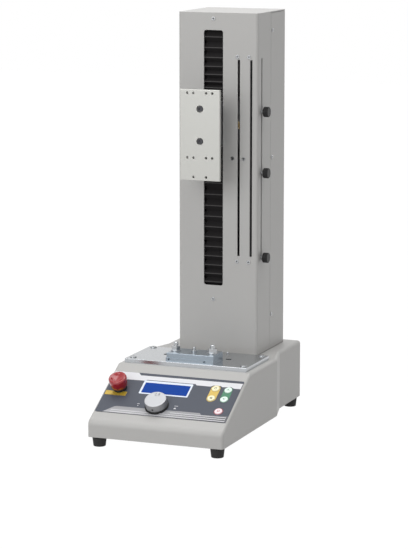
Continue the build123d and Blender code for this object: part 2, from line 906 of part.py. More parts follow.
def make_panel_board():
    """Circuit board with the display and one switch under each key."""
    low = -board_drop - board_thickness
    left = lcd_x - lcd_width / 2 - board_left_margin
    right = arrow_key_x + board_right_margin
    leg = mode_key_x - board_leg_margin
    far = lcd_s + board_half_length
    board = panel_block(left, right, lcd_s - board_half_length, far, low, -board_drop)
    board += panel_block(leg, right, board_leg_start, far, low, -board_drop)
    x0 = lcd_x - lcd_width / 2 + clearance
    s0 = lcd_s - lcd_length / 2 + clearance
    display_top = overlay_thickness - lcd_thickness
    x1 = x0 + lcd_width - 2 * clearance
    s1 = s0 + lcd_length - 2 * clearance
    board += panel_block(x0, x1, s0, s1, -board_drop, display_top)
    switch_top = -housing_wall - key_travel - clearance
    half = key_switch_half_width
    for x, s in keys.values():
        board += panel_block(x - half, x + half, s - half, s + half, -board_drop, switch_top)
    for x, s in board_screw_places():
        board -= on_panel(x, s, low - overcut, -board_drop + overcut, board_screw_radius)
    return board


def make_key(place):
    """One round push key with its stem."""
    x, s = place
    skirt = overlay_thickness - key_skirt
    cap = on_panel(x, s, skirt, overlay_thickness + key_rise, key_radius)
    cap = fillet(top_face(cap, x, s).edges(), key_edge_round)
    return cap + on_panel(x, s, -housing_wall, skirt, key_stem_radius)


def top_face(shape, x, s):
    """The face of a shape on the panel that looks away from it."""
    above = panel.from_local_coords((x, s, base_height))
    return shape.faces().sort_by_distance(above)[0]


def make_dial_ring():
    """Dark ring that the speed dial sits in."""
    low = overlay_thickness
    ring = on_panel(dial_x, dial_s, low, low + dial_ring_height, dial_ring_radius)
    ring = chamfer(top_face(ring, dial_x, dial_s).edges(), dial_ring_bevel)
    high = low + dial_ring_height + overcut
    return ring - on_panel(dial_x, dial_s, -overcut, high, dial_shaft_radius + dial_shaft_gap)


def make_speed_dial():
    """Speed dial with a finger dimple, on its shaft."""
    low = overlay_thickness + dial_ring_height + clearance
    dial = on_panel(dial_x, dial_s, low, low + dial_height, dial_radius)
    dial = fillet(top_face(dial, dial_x, dial_s).edges(), dial_edge_round)
    dimple_s = dial_s + dial_radius - dial_dimple_radius - dial_dimple_margin
    ball = Sphere(dial_dimple_radius * 1.3)
    ball_height = low + dial_height + dial_dimple_radius * 0.8
    dial -= panel.location * Pos(dial_x, dimple_s, ball_height) * ball
    shaft_low = -housing_wall - dial_shaft_depth
    return dial + on_panel(dial_x, dial_s, shaft_low, low, dial_shaft_radius)


def make_speed_encoder():
    """Encoder below the panel that the dial turns."""
    top = -housing_wall
    body = on_panel(dial_x, dial_s, top - encoder_depth, top, encoder_radius)
    bore_low = top - dial_shaft_depth - slide_clearance
    bore = dial_shaft_radius + clearance
    return body - on_panel(dial_x, dial_s, bore_low, top + overcut, bore)


def make_estop_body():
    """Emergency stop: collar above the panel, barrel and contacts below."""
    collar_low = overlay_thickness
    collar_top = collar_low + estop_collar_height
    body = on_panel(estop_x, estop_s, collar_low, collar_top, estop_collar_radius)
    body += on_panel(estop_x, estop_s, -estop_barrel_depth, collar_low, estop_barrel_radius)
    nut_low = -housing_wall - estop_nut_height
    nut_radius = estop_barrel_radius + estop_nut_rim
    body += on_panel(estop_x, estop_s, nut_low, -housing_wall, nut_radius)
    bore_low = -estop_barrel_depth + estop_barrel_floor
    bore = estop_stem_radius + clearance
    body -= on_panel(estop_x, estop_s, bore_low, collar_top + overcut, bore)
    return body


def make_estop_plunger():
    """Stem of the emergency stop, which the head turns on."""
    low = -estop_barrel_depth + estop_barrel_floor + estop_travel + clearance
    neck = overlay_thickness + estop_collar_height + estop_travel
    stem = on_panel(estop_x, estop_s, low, neck, estop_stem_radius)
    return stem + on_panel(estop_x, estop_s, neck, neck + estop_pin_height, estop_pin_radius)


def make_estop_head():
    """Red mushroom head, dished on top."""
    low = overlay_thickness + estop_collar_height + estop_travel + clearance
    top_h = low + estop_head_height
    profile = Polyline(
        (0, low),
        (estop_head_radius * 0.72, low),
        (estop_head_radius, low + estop_head_height * 0.42),
        (estop_head_radius, top_h - estop_edge),
        (estop_head_radius - estop_edge, top_h),
        (0, top_h),
        close=True,
    )
    turned = revolve(Plane.XZ * make_face(profile), axis=Axis.Z)
    head = panel.location * Pos(estop_x, estop_s, 0) * turned
    rim_radius = estop_head_radius - estop_dish_rim
    dish_radius = rim_radius**2 / (2 * estop_dish_depth) + estop_dish_depth / 2
    dish = Pos(estop_x, estop_s, top_h + dish_radius - estop_dish_depth) * Sphere(dish_radius)
    head -= panel.location * dish
    bore = estop_pin_radius + clearance
    return head - on_panel(estop_x, estop_s, low - overcut, low + estop_pin_height, bore)


def column_shell(low, high, inner_high):
    """The column's four walls, closed above the height where the hollow ends."""
    faces = (column_left, column_right, column_front, column_rear)
    outer = rounded_block(*faces, low, high, column_corner_radius)
    inner = rounded_block(
        column_left + cover_wall,
        column_right - cover_wall,
        column_front + cover_wall,
        column_rear - cover_wall,
        low - overcut,
        inner_high,
        column_corner_radius - cover_wall,
    )
    return outer - inner


def behind(y, low, high):
    """A block that takes in the column from a given depth to past its rear."""
    return block(column_left - overcut, column_right + overcut, y, column_rear + overcut, low, high)


def make_column_front_cover():
    """Front cover: front wall, both sides up to the seam, and the top."""
    low = deck_z + cover_foot_gap
    cover = column_shell(low, column_top, column_top - cover_wall)
    cover -= behind(seam_y, low - overcut, column_top - cover_wall)
    window_middle = (window_top + window_bottom) / 2
    window_shape = RectangleRounded(window_width, window_top - window_bottom, window_corner_radius)
    window_plane = Plane(
        origin=(0, column_front + cover_wall + overcut, window_middle),
        x_dir=(1, 0, 0),
        z_dir=(0, -1, 0),
    )
    cover -= extrude(window_plane * window_shape, amount=cover_wall + 2 * overcut)
    y0 = column_front - overcut
    y1 = column_front + cover_wall + overcut
    for x in (slit_one_x, slit_two_x):
        cover -= block(x - slit_width / 2, x + slit_width / 2, y0, y1, slit_bottom, slit_top)
    for x, z in front_screw_places():
        cover -= along(x, y0, y1, z, cover_screw_radius)
    y0 = side_slit_y - side_slit_width / 2
    y1 = side_slit_y + side_slit_width / 2
    x0 = column_right - cover_wall - overcut
    x1 = column_right + overcut
    return cover - block(x0, x1, y0, y1, side_slit_bottom(), slit_top + side_slit_top_rise)


def side_slit_bottom():
    """Lower end of the side slit, just under the lowest stud."""
    return stops["lower"] - stud_radius - side_slit_end_gap


def front_screw_places():
    """Places of the screws on the column's front."""
    middle = (slit_top + slit_bottom) / 2
    line = [(limit_rail_x + limit_rail_thickness / 2, z) for z in slit_screw_heights()]
    line += [(slit_one_x - slit_screw_shift, z) for z in slit_screw_heights()]
    line += [(slit_one_x - slit_one_screw_gap, middle), (slit_two_x - slit_two_screw_gap, middle)]
    line += [(0, head_plate_top - head_screw_drop)]
    line += [(0, cross_plate_top - cross_plate_thickness / 2)]
    return line


def slit_screw_heights():
    """Heights of the screws past both ends of the slits."""
    return [slit_top + slit_screw_rise, slit_bottom - slit_screw_drop]


def side_screw_places():
    """Heights of the screws on the column's sides, behind the seam."""
    top = head_plate_bottom - cover_screw_top_gap
    middle = (slit_top + slit_bottom) / 2 - cover_screw_middle_drop
    return [top, middle, deck_z + cover_screw_low_rise]


def make_column_rear_cover():
    """Rear cover: both sides behind the seam, and the back wall."""
    low = deck_z + cover_foot_gap
    top = column_top - cover_wall - cover_seam_gap
    front = seam_y + cover_seam_gap
    cover = column_shell(low, top, top + overcut) & behind(front, low, top)
    for x0, x1 in side_flange_places():
        cover += block(x0, x1, front - cover_flange_lap, front + cover_flange_depth, low, top)
    y = seam_y + cover_screw_setback
    for z in side_screw_places():
        for inner, outer in side_screw_walls():
            cover -= across(min(inner, outer), max(inner, outer), y, z, cover_screw_radius)
    return cover


def side_screw_walls():
    """Inner and outer end of a hole through each side wall and its strip."""
    deep = cover_wall + cover_flange_thickness + overcut
    return [
        (column_left + deep, column_left - overcut),
        (column_right - deep, column_right + overcut),
    ]


def side_flange_places():
    """The rear cover's inner strips, which the front cover's sides lap."""
    left = column_left + cover_wall
    right = column_right - cover_wall
    return [(left, left + cover_flange_thickness), (right - cover_flange_thickness, right)]


def make_column_cover_screws():
    """Pan-headed screws of the two covers."""
    screws = []
    length = cover_screw_length
    high = cover_screw_head_height
    soft = cover_screw_edge_round
    for x, z in front_screw_places():
        y = column_front
        head = along(x, y - high, y, z, cover_screw_head_radius)
        head = fillet(head.faces().sort_by(Axis.Y)[0].edges(), soft)
        screws.append(head + along(x, y, y + length, z, cover_screw_radius))
    y = seam_y + cover_screw_setback
    for z in side_screw_places():
        right = column_right
        left = column_left
        head = across(right, right + high, y, z, cover_screw_head_radius)
        head = fillet(head.faces().sort_by(Axis.X)[-1].edges(), soft)
        screws.append(head + across(right - length / 2, right, y, z, cover_screw_radius))
        head = across(left - high, left, y, z, cover_screw_head_radius)
        head = fillet(head.faces().sort_by(Axis.X)[0].edges(), soft)
        screws.append(head + across(left, left + length / 2, y, z, cover_screw_radius))
    return screws


def make_column_backbone():
    """Channel that stands on the frame and carries the guide rails."""
    half = backbone_half_width
    y0 = backbone_y
    y1 = y0 + backbone_thickness
    y2 = y0 + backbone_depth
    spine = block(-half, half, y0, y1, frame_top, head_plate_bottom)
    for side in (-1, 1):
        outer = side * half
        inner = side * (half - backbone_flange)
        spine += block(min(inner, outer), max(inner, outer), y0, y2, frame_top, head_plate_bottom)
    return spine


def make_guide_rails():
    """Two straight rails on the backbone."""
    low = cross_plate_top + rail_end_gap
    high = head_plate_bottom - rail_end_gap
    rails = []
    for side in (-1, 1):
        x = side * rail_spacing / 2
        y0 = backbone_y - rail_thickness
        rails.append(block(x - rail_width / 2, x + rail_width / 2, y0, backbone_y, low, high))
    return rails


def make_carriage_block():
    """Carriage with a groove for each rail and a bore for the nut."""
    half = carriage_width / 2
    z0 = arm_z - carriage_height / 2
    z1 = arm_z + carriage_height / 2
    body = block(-half, half, carriage_front, carriage_rear, z0, z1)
    groove_y = backbone_y - rail_thickness - clearance
    for side in (-1, 1):
        x = side * rail_spacing / 2
        reach = rail_width / 2 + clearance
        rear = carriage_rear + overcut
        body -= block(x - reach, x + reach, groove_y, rear, z0 - overcut, z1 + overcut)
    body -= upright(0, screw_y, z0 - overcut, z1 + overcut, nut_radius)
    return body


def make_screw_nut():
    """Flanged nut in the carriage, clear of the screw."""
    z0 = arm_z - carriage_height / 2
    low = z0 - nut_flange_thickness
    nut = upright(0, screw_y, z0, z0 + nut_length, nut_radius)
    nut += upright(0, screw_y, low, z0, nut_flange_radius)
    bore = screw_radius + clearance
    return nut - upright(0, screw_y, low - overcut, z0 + nut_length + overcut, bore)


def make_gauge_arm():
    """Arm from the carriage out through the window, webbed on both sides."""
    z0 = arm_z - arm_height / 2
    z1 = arm_z + arm_height / 2
    y0 = gauge_plate_y0 + gauge_plate_thickness
    half = arm_width / 2
    arm = block(-half, half, y0, carriage_front, z0, z1)
    foot_y = carriage_front - arm_foot_thickness
    foot_half = arm_foot_width / 2
    arm += block(-foot_half, foot_half, foot_y, carriage_front, z0, z1)
    pocket_end = column_front - arm_pocket_gap
    for side in (-1, 1):
        near = side * arm_web / 2
        far = side * (half + overcut)
        arm -= block(
            min(near, far),
            max(near, far),
            y0 + arm_border,
            pocket_end,
            z0 + arm_border,
            z1 - arm_border,
        )
    hole_end = gauge_plate_y0 + gauge_counterbore_depth + gauge_screw_length + drill_clearance
    for z in gauge_screw_heights():
        arm -= along(0, y0 - overcut, hole_end, z, gauge_screw_radius)
    return arm


def gauge_screw_heights():
    """Heights of the two screws that hold the gauge plate."""
    top = arm_z + arm_height / 2 - gauge_screw_top_margin
    bottom = arm_z - arm_height / 2 + gauge_screw_bottom_margin
    return [top, bottom]


def gauge_hole_places():
    """Places of the small holes that a gauge is fastened by."""
    top = arm_z - gauge_plate_drop + gauge_plate_height / 2
    bottom = top - gauge_plate_height
    row_one = top - gauge_row_margin
    row_two = row_one - gauge_row_spacing
    row_three = bottom + gauge_row_margin
    outer = gauge_outer_spacing / 2
    inner = gauge_inner_spacing / 2
    places = [(x, z) for z in (row_one, row_two) for x in (-outer, -inner, inner, outer)]
    return places + [(-inner, row_three), (inner, row_three)]


def make_gauge_plate():
    """Plate that a force gauge is screwed to."""
    half = gauge_plate_width / 2
    y0 = gauge_plate_y0
    y1 = y0 + gauge_plate_thickness
    top = arm_z - gauge_plate_drop + gauge_plate_height / 2
    plate = block(-half, half, y0, y1, top - gauge_plate_height, top)
    plate = chamfer(plate.faces().sort_by(Axis.Y)[0].edges(), gauge_plate_bevel)
    near = y0 - overcut
    far = y1 + overcut
    for x, z in gauge_hole_places():
        plate -= along(x, near, far, z, gauge_hole_radius)
    for z in gauge_screw_heights():
        plate -= along(0, near, far, z, gauge_screw_radius)
        plate -= along(0, near, y0 + gauge_counterbore_depth, z, gauge_counterbore_radius)
    return plate


def make_gauge_plate_screws():
    """Two socket screws in the gauge plate's counterbores."""
    seat = gauge_plate_y0 + gauge_counterbore_depth
    front = seat - gauge_screw_head_height
    screws = []
    for z in gauge_screw_heights():
        head = along(0, front, seat, z, gauge_screw_head_radius)
        head = fillet(head.faces().sort_by(Axis.Y)[0].edges(), gauge_plate_bevel)
        socket_plane = Plane(origin=(0, front - overcut, z), z_dir=(0, 1, 0))
        socket = socket_plane * RegularPolygon(gauge_socket_radius, 6)
        head -= extrude(socket, amount=gauge_socket_depth + overcut)
        shank = along(0, seat, seat + gauge_screw_length, z, gauge_screw_radius)
        screws.append(head + shank)
    return screws


def make_position_pointer():
    """Brass blade in the first slit that shows where the carriage is."""
    z0 = pointer_z - pointer_height / 2
    z1 = pointer_z + pointer_height / 2
    tip_y = column_front + pointer_tip_recess
    x0 = slit_one_x - pointer_thickness / 2
    blade = block(x0, x0 + pointer_thickness, tip_y, carriage_front, z0, z1)
    foot_x1 = carriage_width / 2
    foot_x0 = foot_x1 - pointer_foot_width
    foot_y = carriage_front - pointer_foot_thickness
    return blade + block(foot_x0, foot_x1, foot_y, carriage_front, z0, z1)


def make_lead_screw():
    """Screw with a journal at each end; the lower one carries the pulley."""
    z_body = bearing_top + clearance
    z_top = head_plate_bottom - head_boss_height - clearance
    screw = upright(0, screw_y, z_body, z_top, screw_radius)
    screw += upright(0, screw_y, pulley_bottom, z_body, screw_journal_radius)
    return screw + upright(0, screw_y, z_top, z_top + head_boss_height, screw_journal_radius)


def pulley(y, radius, bore):
    """A flanged belt pulley, or a solid one where the bore is zero."""
    wheel = upright(0, y, pulley_bottom, pulley_top, radius)
    for z0 in (pulley_bottom, pulley_top - pulley_flange_thickness):
        wheel += upright(0, y, z0, z0 + pulley_flange_thickness, radius + pulley_flange_rise)
    if bore > 0:
        wheel -= upright(0, y, pulley_bottom - overcut, pulley_top + overcut, bore)
    return wheel


def make_motor_pulley():
    """Motor pulley with the motor's shaft."""
    wheel = pulley(motor_y, motor_pulley_radius, 0)
    low = motor_top - motor_shaft_depth
    return wheel + upright(0, motor_y, low, pulley_bottom, motor_shaft_radius)


def belt_loop(growth, z0, z1):
    """Solid between two round ends, grown out from the pulleys."""
    small = Pos(0, motor_y) * CenterArc((0, 0), motor_pulley_radius + growth, 0, 360)
    large = Pos(0, screw_y) * CenterArc((0, 0), screw_pulley_radius + growth, 0, 360)
    outline = make_hull([small.edges()[0], large.edges()[0]])
    return extrude(Pos(0, 0, z0) * outline, amount=z1 - z0)


def make_timing_belt():
    """Closed belt around both pulleys."""
    z0 = pulley_bottom + pulley_flange_thickness + belt_side_clearance
    z1 = pulley_top - pulley_flange_thickness - belt_side_clearance
    outside = belt_loop(clearance + belt_thickness, z0, z1)
    return outside - belt_loop(clearance, z0 - overcut, z1 + overcut)


def make_drive_motor():
    """Square motor under the bridge, shaft up."""
    half = motor_width / 2
    z0 = motor_top - motor_height
    body = rounded_block(-half, half, motor_y - half, motor_y + half, z0, motor_top, motor_corner)
    boss_top = motor_top + motor_bridge_thickness - slide_clearance
    body += upright(0, motor_y, motor_top, boss_top, motor_boss_radius - slide_clearance)
    bore_low = motor_top - motor_shaft_depth - slide_clearance
    bore = motor_shaft_radius + clearance
    return body - upright(0, motor_y, bore_low, boss_top + overcut, bore)


def make_lower_bearing_block():
    """Bearing block of the screw, on the frame."""
    half = bearing_half_width
    y0 = screw_y - bearing_depth / 2
    body = block(-half, half, y0, y0 + bearing_depth, frame_top, bearing_top)
    body = chamfer(body.edges().filter_by(Axis.Z), bearing_corner)
    bore = screw_journal_radius + clearance
    return body - upright(0, screw_y, frame_top - overcut, bearing_top + overcut, bore)


def front_corners(plate, y0):
    """The two upright edges of a plate that lie in the front cover's corners."""
    return [e for e in plate.edges().filter_by(Axis.Z) if e.center().Y < y0 + clearance]


def make_upper_bearing_block():
    """Head plate across the column with the screw's upper bearing."""
    low = head_plate_bottom
    high = head_plate_top
    gap = cover_wall + head_plate_side_gap
    narrow = gap + cover_flange_thickness
    y0 = column_front + cover_wall
    y1 = backbone_y + backbone_depth
    wide_end = seam_y - cover_flange_lap
    plate = block(column_left + narrow, column_right - narrow, y0, y1, low, high)
    plate += block(column_left + gap, column_right - gap, y0, wide_end, low, high)
    plate = fillet(front_corners(plate, y0), column_corner_radius)
    boss_low = low - head_boss_height
    plate += upright(0, screw_y, boss_low, low, head_boss_radius)
    bore_top = low + slide_clearance
    plate -= upright(0, screw_y, boss_low - overcut, bore_top, screw_journal_radius + clearance)
    hole_end = column_front + cover_screw_length + drill_clearance
    plate -= along(0, y0 - overcut, hole_end, high - head_screw_drop, cover_screw_radius)
    return plate


def make_lower_cross_plate():
    """Plate under the window that ties the cover to the backbone."""
    x0 = column_left + cover_wall + head_plate_side_gap
    x1 = column_right - cover_wall - head_plate_side_gap
    y0 = column_front + cover_wall
    y1 = y0 + cross_plate_depth
    low = cross_plate_top - cross_plate_thickness
    high = cross_plate_top
    plate = block(x0, x1, y0, y1, low, high)
    plate = fillet(front_corners(plate, y0), column_corner_radius)
    half = backbone_half_width
    plate += block(-half, half, y1, backbone_y, low, high)
    plate -= upright(0, screw_y, low - overcut, high + overcut, cross_plate_hole_radius)
    hole_end = column_front + cover_screw_length + drill_clearance
    middle = low + cross_plate_thickness / 2
    return plate - along(0, y0 - overcut, hole_end, middle, cover_screw_radius)


def bellows(z0, z1, pleats):
    """A folded sheet between two heights, drawn out across its width."""
    near = column_front + cover_wall + clearance
    far = near + bellows_depth - bellows_sheet
    steps = 2 * pleats
    heights = [z0 + (z1 - z0) * i / steps for i in range(steps + 1)]
    front = [(near if i % 2 == 0 else far, z) for i, z in enumerate(heights)]
    back = [(y + bellows_sheet, z) for y, z in reversed(front)]
    sheet = make_face(Polyline(*front, *back, close=True))
    return extrude(Plane.YZ * sheet, amount=bellows_width / 2, both=True)


def make_upper_bellows():
    """Bellows between the arm and the window's upper end."""
    return bellows(arm_z + arm_height / 2, window_top + bellows_end_lap, upper_pleats)


def make_lower_bellows():
    """Bellows between the window's lower end and the arm."""
    return bellows(window_bottom - bellows_end_lap, arm_z - arm_height / 2, lower_pleats)


def make_limit_rail():
    """Flat rail beside the side slit that the stops slide along."""
    y0 = column_front + cover_wall
    x0 = limit_rail_x
    x1 = x0 + limit_rail_thickness
    high = max(slit_screw_heights()) + limit_rail_overrun
    low = min(slit_screw_heights()) - limit_rail_overrun
    rail = block(x0, x1, y0, y0 + limit_rail_depth, low, high)
    hole_end = column_front + cover_screw_length + drill_clearance
    for z in slit_screw_heights():
        rail -= along((x0 + x1) / 2, y0 - overcut, hole_end, z, cover_screw_radius)
    return rail


def make_limit_slider(z):
    """A stop inside the column with its stud out through the side slit."""
    x0 = limit_rail_x + limit_rail_thickness + clearance
    x1 = column_right - cover_wall - clearance
    y0 = side_slit_y - slider_depth / 2
    half = slider_height / 2
    body = block(x0, x1, y0, y0 + slider_depth, z - half, z + half)
    stud_end = column_right + knob_gap + knob_length - knob_cap
    return body + across(x1, stud_end, side_slit_y, z, stud_radius)


def make_limit_knob(z):
    """Fluted clamp knob on a stop's stud."""
    x0 = column_right + knob_gap
    knob = across(x0, x0 + knob_length, side_slit_y, z, knob_radius)
    knob = chamfer(knob.edges().filter_by(GeomType.CIRCLE), knob_edge_bevel)
    for i in range(knob_flutes):
        turn = 2 * math.pi * i / knob_flutes
        y = side_slit_y + knob_radius * math.cos(turn)
        up = z + knob_radius * math.sin(turn)
        knob -= across(x0 - overcut, x0 + knob_length + overcut, y, up, knob_flute_radius)
    bore_end = x0 + knob_length - knob_cap + clearance
    return knob - across(x0 - overcut, bore_end, side_slit_y, z, stud_radius + clearance)


def make_control_board():
    """Motor control board on four posts, with its larger parts."""
    x0 = -control_board_width / 2
    y0 = front_y + control_board_setback
    x1 = x0 + control_board_width
    y1 = y0 + control_board_depth
    low = plate_top + control_board_lift
    top = low + board_thickness
    board = block(x0, x1, y0, y1, low, top)
    for x in (x0 + control_post_inset, x1 - control_post_inset):
        for y in (y0 + control_post_inset, y1 - control_post_inset):
            board += upright(x, y, plate_top, low, control_post_radius)
    chip_y = y0 + chip_front_margin
    for i in range(chip_count):
        x = x0 + chip_side_margin + chip_pitch * i
        board += block(x, x + chip_width, chip_y, chip_y + chip_length, top, top + chip_height)
    return board


def make_power_supply():
    """Boxed power supply beside the left rib."""
    x0 = -frame_rib_half_width + frame_rib_thickness + supply_gap
    x1 = x0 + supply_width
    y1 = rear_y - supply_rear_gap
    y0 = y1 - supply_depth
    top = plate_top + supply_height
    body = block(x0, x1, y0, y1, plate_top, top)
    vent_x0 = x0 + supply_vent_margin
    vent_x1 = x1 - supply_vent_margin
    for i in range(supply_vent_count):
        y = y0 + supply_vent_start + supply_vent_pitch * i
        low = top - supply_vent_depth
        body -= block(vent_x0, vent_x1, y, y + supply_vent_width, low, top + overcut)
    return body


def rear_block(x, wide, high, y0, y1):
    """A box in the rear wall, centred on the fittings' height."""
    return block(x - wide / 2, x + wide / 2, y0, y1, inlet_z - high / 2, inlet_z + high / 2)


def make_power_inlet():
    """Mains inlet with its socket and three contacts."""
    out = rear_y + rear_flange_proud
    body = rear_block(inlet_x, inlet_flange_width, inlet_flange_height, rear_y, out)
    body = fillet(body.edges().filter_by(Axis.Y), inlet_corner_radius)
    inner = rear_y - inlet_body_depth
    body += rear_block(inlet_x, inlet_body_width, inlet_body_height, inner, rear_y)
    floor = out - inlet_socket_depth
    body -= rear_block(inlet_x, inlet_socket_width, inlet_socket_height, floor, out + overcut)
    rows = [(-contact_spacing, -contact_drop), (0, contact_rise), (contact_spacing, -contact_drop)]
    for dx, dz in rows:
        x = inlet_x + dx
        z = inlet_z + dz
        body += block(
            x - contact_half_width,
            x + contact_half_width,
            floor - overcut / 2,
            out - contact_recess,
            z - contact_half_height,
            z + contact_half_height,
        )
    return body


def make_switch_frame():
    """Frame of the mains switch, open for its rocker."""
    out = rear_y + rear_flange_proud
    flange = 2 * switch_flange
    body = rear_block(switch_x, switch_width + flange, switch_height + flange, rear_y, out)
    body += rear_block(switch_x, switch_width, switch_height, rear_y - switch_depth, rear_y)
    walls = 2 * switch_wall
    well = rear_y - switch_well_depth
    return body - rear_block(switch_x, switch_width - walls, switch_height - walls, well, out + overcut)


def make_power_rocker():
    """Rocker of the mains switch, tilted to its off side."""
    half_w = switch_width / 2 - switch_wall - clearance
    half_l = rocker_length / 2
    pivot_y = rear_y - rocker_pivot_depth
    profile = Polyline(
        (-half_l, rocker_low),
        (-half_l, rocker_high),
        (0, rocker_middle),
        (half_l, rocker_high),
        (half_l, rocker_low),
        (rocker_tail_half_width, -rocker_tail),
        (-rocker_tail_half_width, -rocker_tail),
        close=True,
    )
    shape = extrude(make_face(profile), amount=half_w, both=True)
    upright_rocker = Plane(origin=(0, 0, 0), x_dir=(0, 0, 1), z_dir=(-1, 0, 0)).location
    return Pos(switch_x, pivot_y, inlet_z) * Rot(rocker_tilt, 0, 0) * (upright_rocker * shape)


def make_signal_connector():
    """Signal socket on the back with its metal shell."""
    plate_out = rear_y + connector_plate_thickness
    out = rear_y + rear_fitting_proud
    inner = rear_y - connector_depth
    body = rear_block(connector_x, connector_width, connector_height, rear_y, plate_out)
    body += rear_block(connector_x, connector_shell_width, connector_shell_height, inner, out)
    mouth_width = connector_shell_width - 2 * connector_shell_wall
    mouth_height = connector_shell_height - 2 * connector_shell_wall
    floor = out - connector_mouth_depth
    return body - rear_block(connector_x, mouth_width, mouth_height, floor, out + overcut)


def write(name, shape):
    """Write one sub-part, or a group of like solids, to its own file."""
    solids = shape if isinstance(shape, list) else [shape]
    parts = []
    for solid in solids:
        parts += list(solid.solids())
    whole = parts[0] if len(parts) == 1 else Compound(children=parts)
    whole.label = name
    export_step(whole, f"parts/{name}.step")


def main():
    """Build every sub-part and write it."""
    os.makedirs("parts", exist_ok=True)
    write("base_housing", make_base_housing())
    write("base_bottom_plate", make_base_bottom_plate())
    write("bottom_plate_screws", make_bottom_plate_screws())
    write("rubber_feet", make_rubber_feet())
    write("foot_screws", make_foot_screws())
    write("base_frame", make_base_frame())
    write("table_plate", make_table_plate())
    write("table_plate_screws", make_table_plate_screws())
    write("fixture_lower_plate", make_fixture_lower_plate())
    write("fixture_upper_block", make_fixture_upper_block())
    write("fixture_clamp_bolts", make_fixture_clamp_bolts())
    write("fixture_centre_screw", make_fixture_centre_screw())
    write("panel_overlay", make_panel_overlay())
    write("lcd_window", make_lcd_window())
    write("panel_board", make_panel_board())
    for name, place in keys.items():
        write(name, make_key(place))
    write("dial_ring", make_dial_ring())
    write("speed_dial", make_speed_dial())
    write("speed_encoder", make_speed_encoder())
    write("estop_body", make_estop_body())
    write("estop_plunger", make_estop_plunger())
    write("estop_head", make_estop_head())
    write("column_front_cover", make_column_front_cover())
    write("column_rear_cover", make_column_rear_cover())
    write("column_cover_screws", make_column_cover_screws())
    write("column_backbone", make_column_backbone())
    write("guide_rails", make_guide_rails())
    write("carriage_block", make_carriage_block())
    write("screw_nut", make_screw_nut())
    write("gauge_arm", make_gauge_arm())
    write("gauge_plate", make_gauge_plate())
    write("gauge_plate_screws", make_gauge_plate_screws())
    write("position_pointer", make_position_pointer())
    write("lead_screw", make_lead_screw())
    write("screw_pulley", pulley(screw_y, screw_pulley_radius, screw_journal_radius))
    write("motor_pulley", make_motor_pulley())
    write("timing_belt", make_timing_belt())
    write("drive_motor", make_drive_motor())
    write("lower_bearing_block", make_lower_bearing_block())
    write("upper_bearing_block", make_upper_bearing_block())
    write("lower_cross_plate", make_lower_cross_plate())
    write("upper_bellows", make_upper_bellows())
    write("lower_bellows", make_lower_bellows())
    write("limit_rail", make_limit_rail())
    for name, z in stops.items():
        write(f"{name}_limit_slider", make_limit_slider(z))
        write(f"{name}_limit_knob", make_limit_knob(z))
    write("control_board", make_control_board())
    write("power_supply", make_power_supply())
    write("power_inlet", make_power_inlet())
    write("switch_frame", make_switch_frame())
    write("power_rocker", make_power_rocker())
    write("signal_connector", make_signal_connector())


main()
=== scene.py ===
import logging
import math
from dataclasses import dataclass
from enum import Enum
from typing import Any, ClassVar, Sequence

import bmesh
import bpy
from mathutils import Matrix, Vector


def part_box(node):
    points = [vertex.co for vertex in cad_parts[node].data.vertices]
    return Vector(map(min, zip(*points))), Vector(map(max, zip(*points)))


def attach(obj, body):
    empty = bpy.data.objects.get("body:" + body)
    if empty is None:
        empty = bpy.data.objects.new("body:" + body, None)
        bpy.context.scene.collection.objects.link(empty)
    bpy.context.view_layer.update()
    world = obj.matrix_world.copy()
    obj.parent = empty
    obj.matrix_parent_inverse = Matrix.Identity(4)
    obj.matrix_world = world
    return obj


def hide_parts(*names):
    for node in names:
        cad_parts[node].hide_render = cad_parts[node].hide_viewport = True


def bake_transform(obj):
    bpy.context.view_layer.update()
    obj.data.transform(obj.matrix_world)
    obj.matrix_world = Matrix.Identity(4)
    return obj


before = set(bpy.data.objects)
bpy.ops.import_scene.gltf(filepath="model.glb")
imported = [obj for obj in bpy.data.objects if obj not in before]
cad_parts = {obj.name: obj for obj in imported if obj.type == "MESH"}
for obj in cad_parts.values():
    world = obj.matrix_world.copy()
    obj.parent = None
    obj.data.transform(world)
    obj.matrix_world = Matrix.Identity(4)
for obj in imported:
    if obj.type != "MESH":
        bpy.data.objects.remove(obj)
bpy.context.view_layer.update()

# Lengths are in millimetres up to the point where MM turns them into metres
MM = 0.001
X = Vector((1, 0, 0))
Y = Vector((0, 1, 0))
Z = Vector((0, 0, 1))
WHITE = (1.0, 1.0, 1.0, 1.0)
FULL_TURN = 360.0
HALF_TURN = 180.0
CORNER_STEPS = 6
END_STEPS = 20
Point = tuple[float, float]
Place = tuple[float, float, float]
Colour = tuple[int, int, int]
log = logging.getLogger("test_stand")


class Grain(Enum):
    """Which way the fine marks of a surface run, as a stretch along x, y and z."""

    EVEN = (1.0, 1.0, 1.0)
    ALONG_X = (0.04, 1.0, 1.0)
    ALONG_Y = (1.0, 0.04, 1.0)
    ALONG_Z = (1.0, 1.0, 0.04)


class Mark(Enum):
    """The plain signs printed on the keys."""

    UP = "up"
    DOWN = "down"
    SQUARE = "square"
    RING = "ring"
    BARS = "bars"


def circle(centre: Point, radius: float, steps: int = 48, start: float = 0.0,
           sweep: float = FULL_TURN) -> list[Point]:
    """Points round a circle or an arc.

    Args:
        centre: the middle of the circle.
        radius: its radius.
        steps: how many points a full turn or the arc has.
        start: the first direction in degrees.
        sweep: the angle covered in degrees.

    Returns:
        The points, without the first one repeated.
    """
    closed = abs(sweep) >= FULL_TURN
    count = steps if closed else steps + 1
    angles = [math.radians(start + sweep * k / steps) for k in range(count)]
    return [(centre[0] + radius * math.cos(a), centre[1] + radius * math.sin(a)) for a in angles]


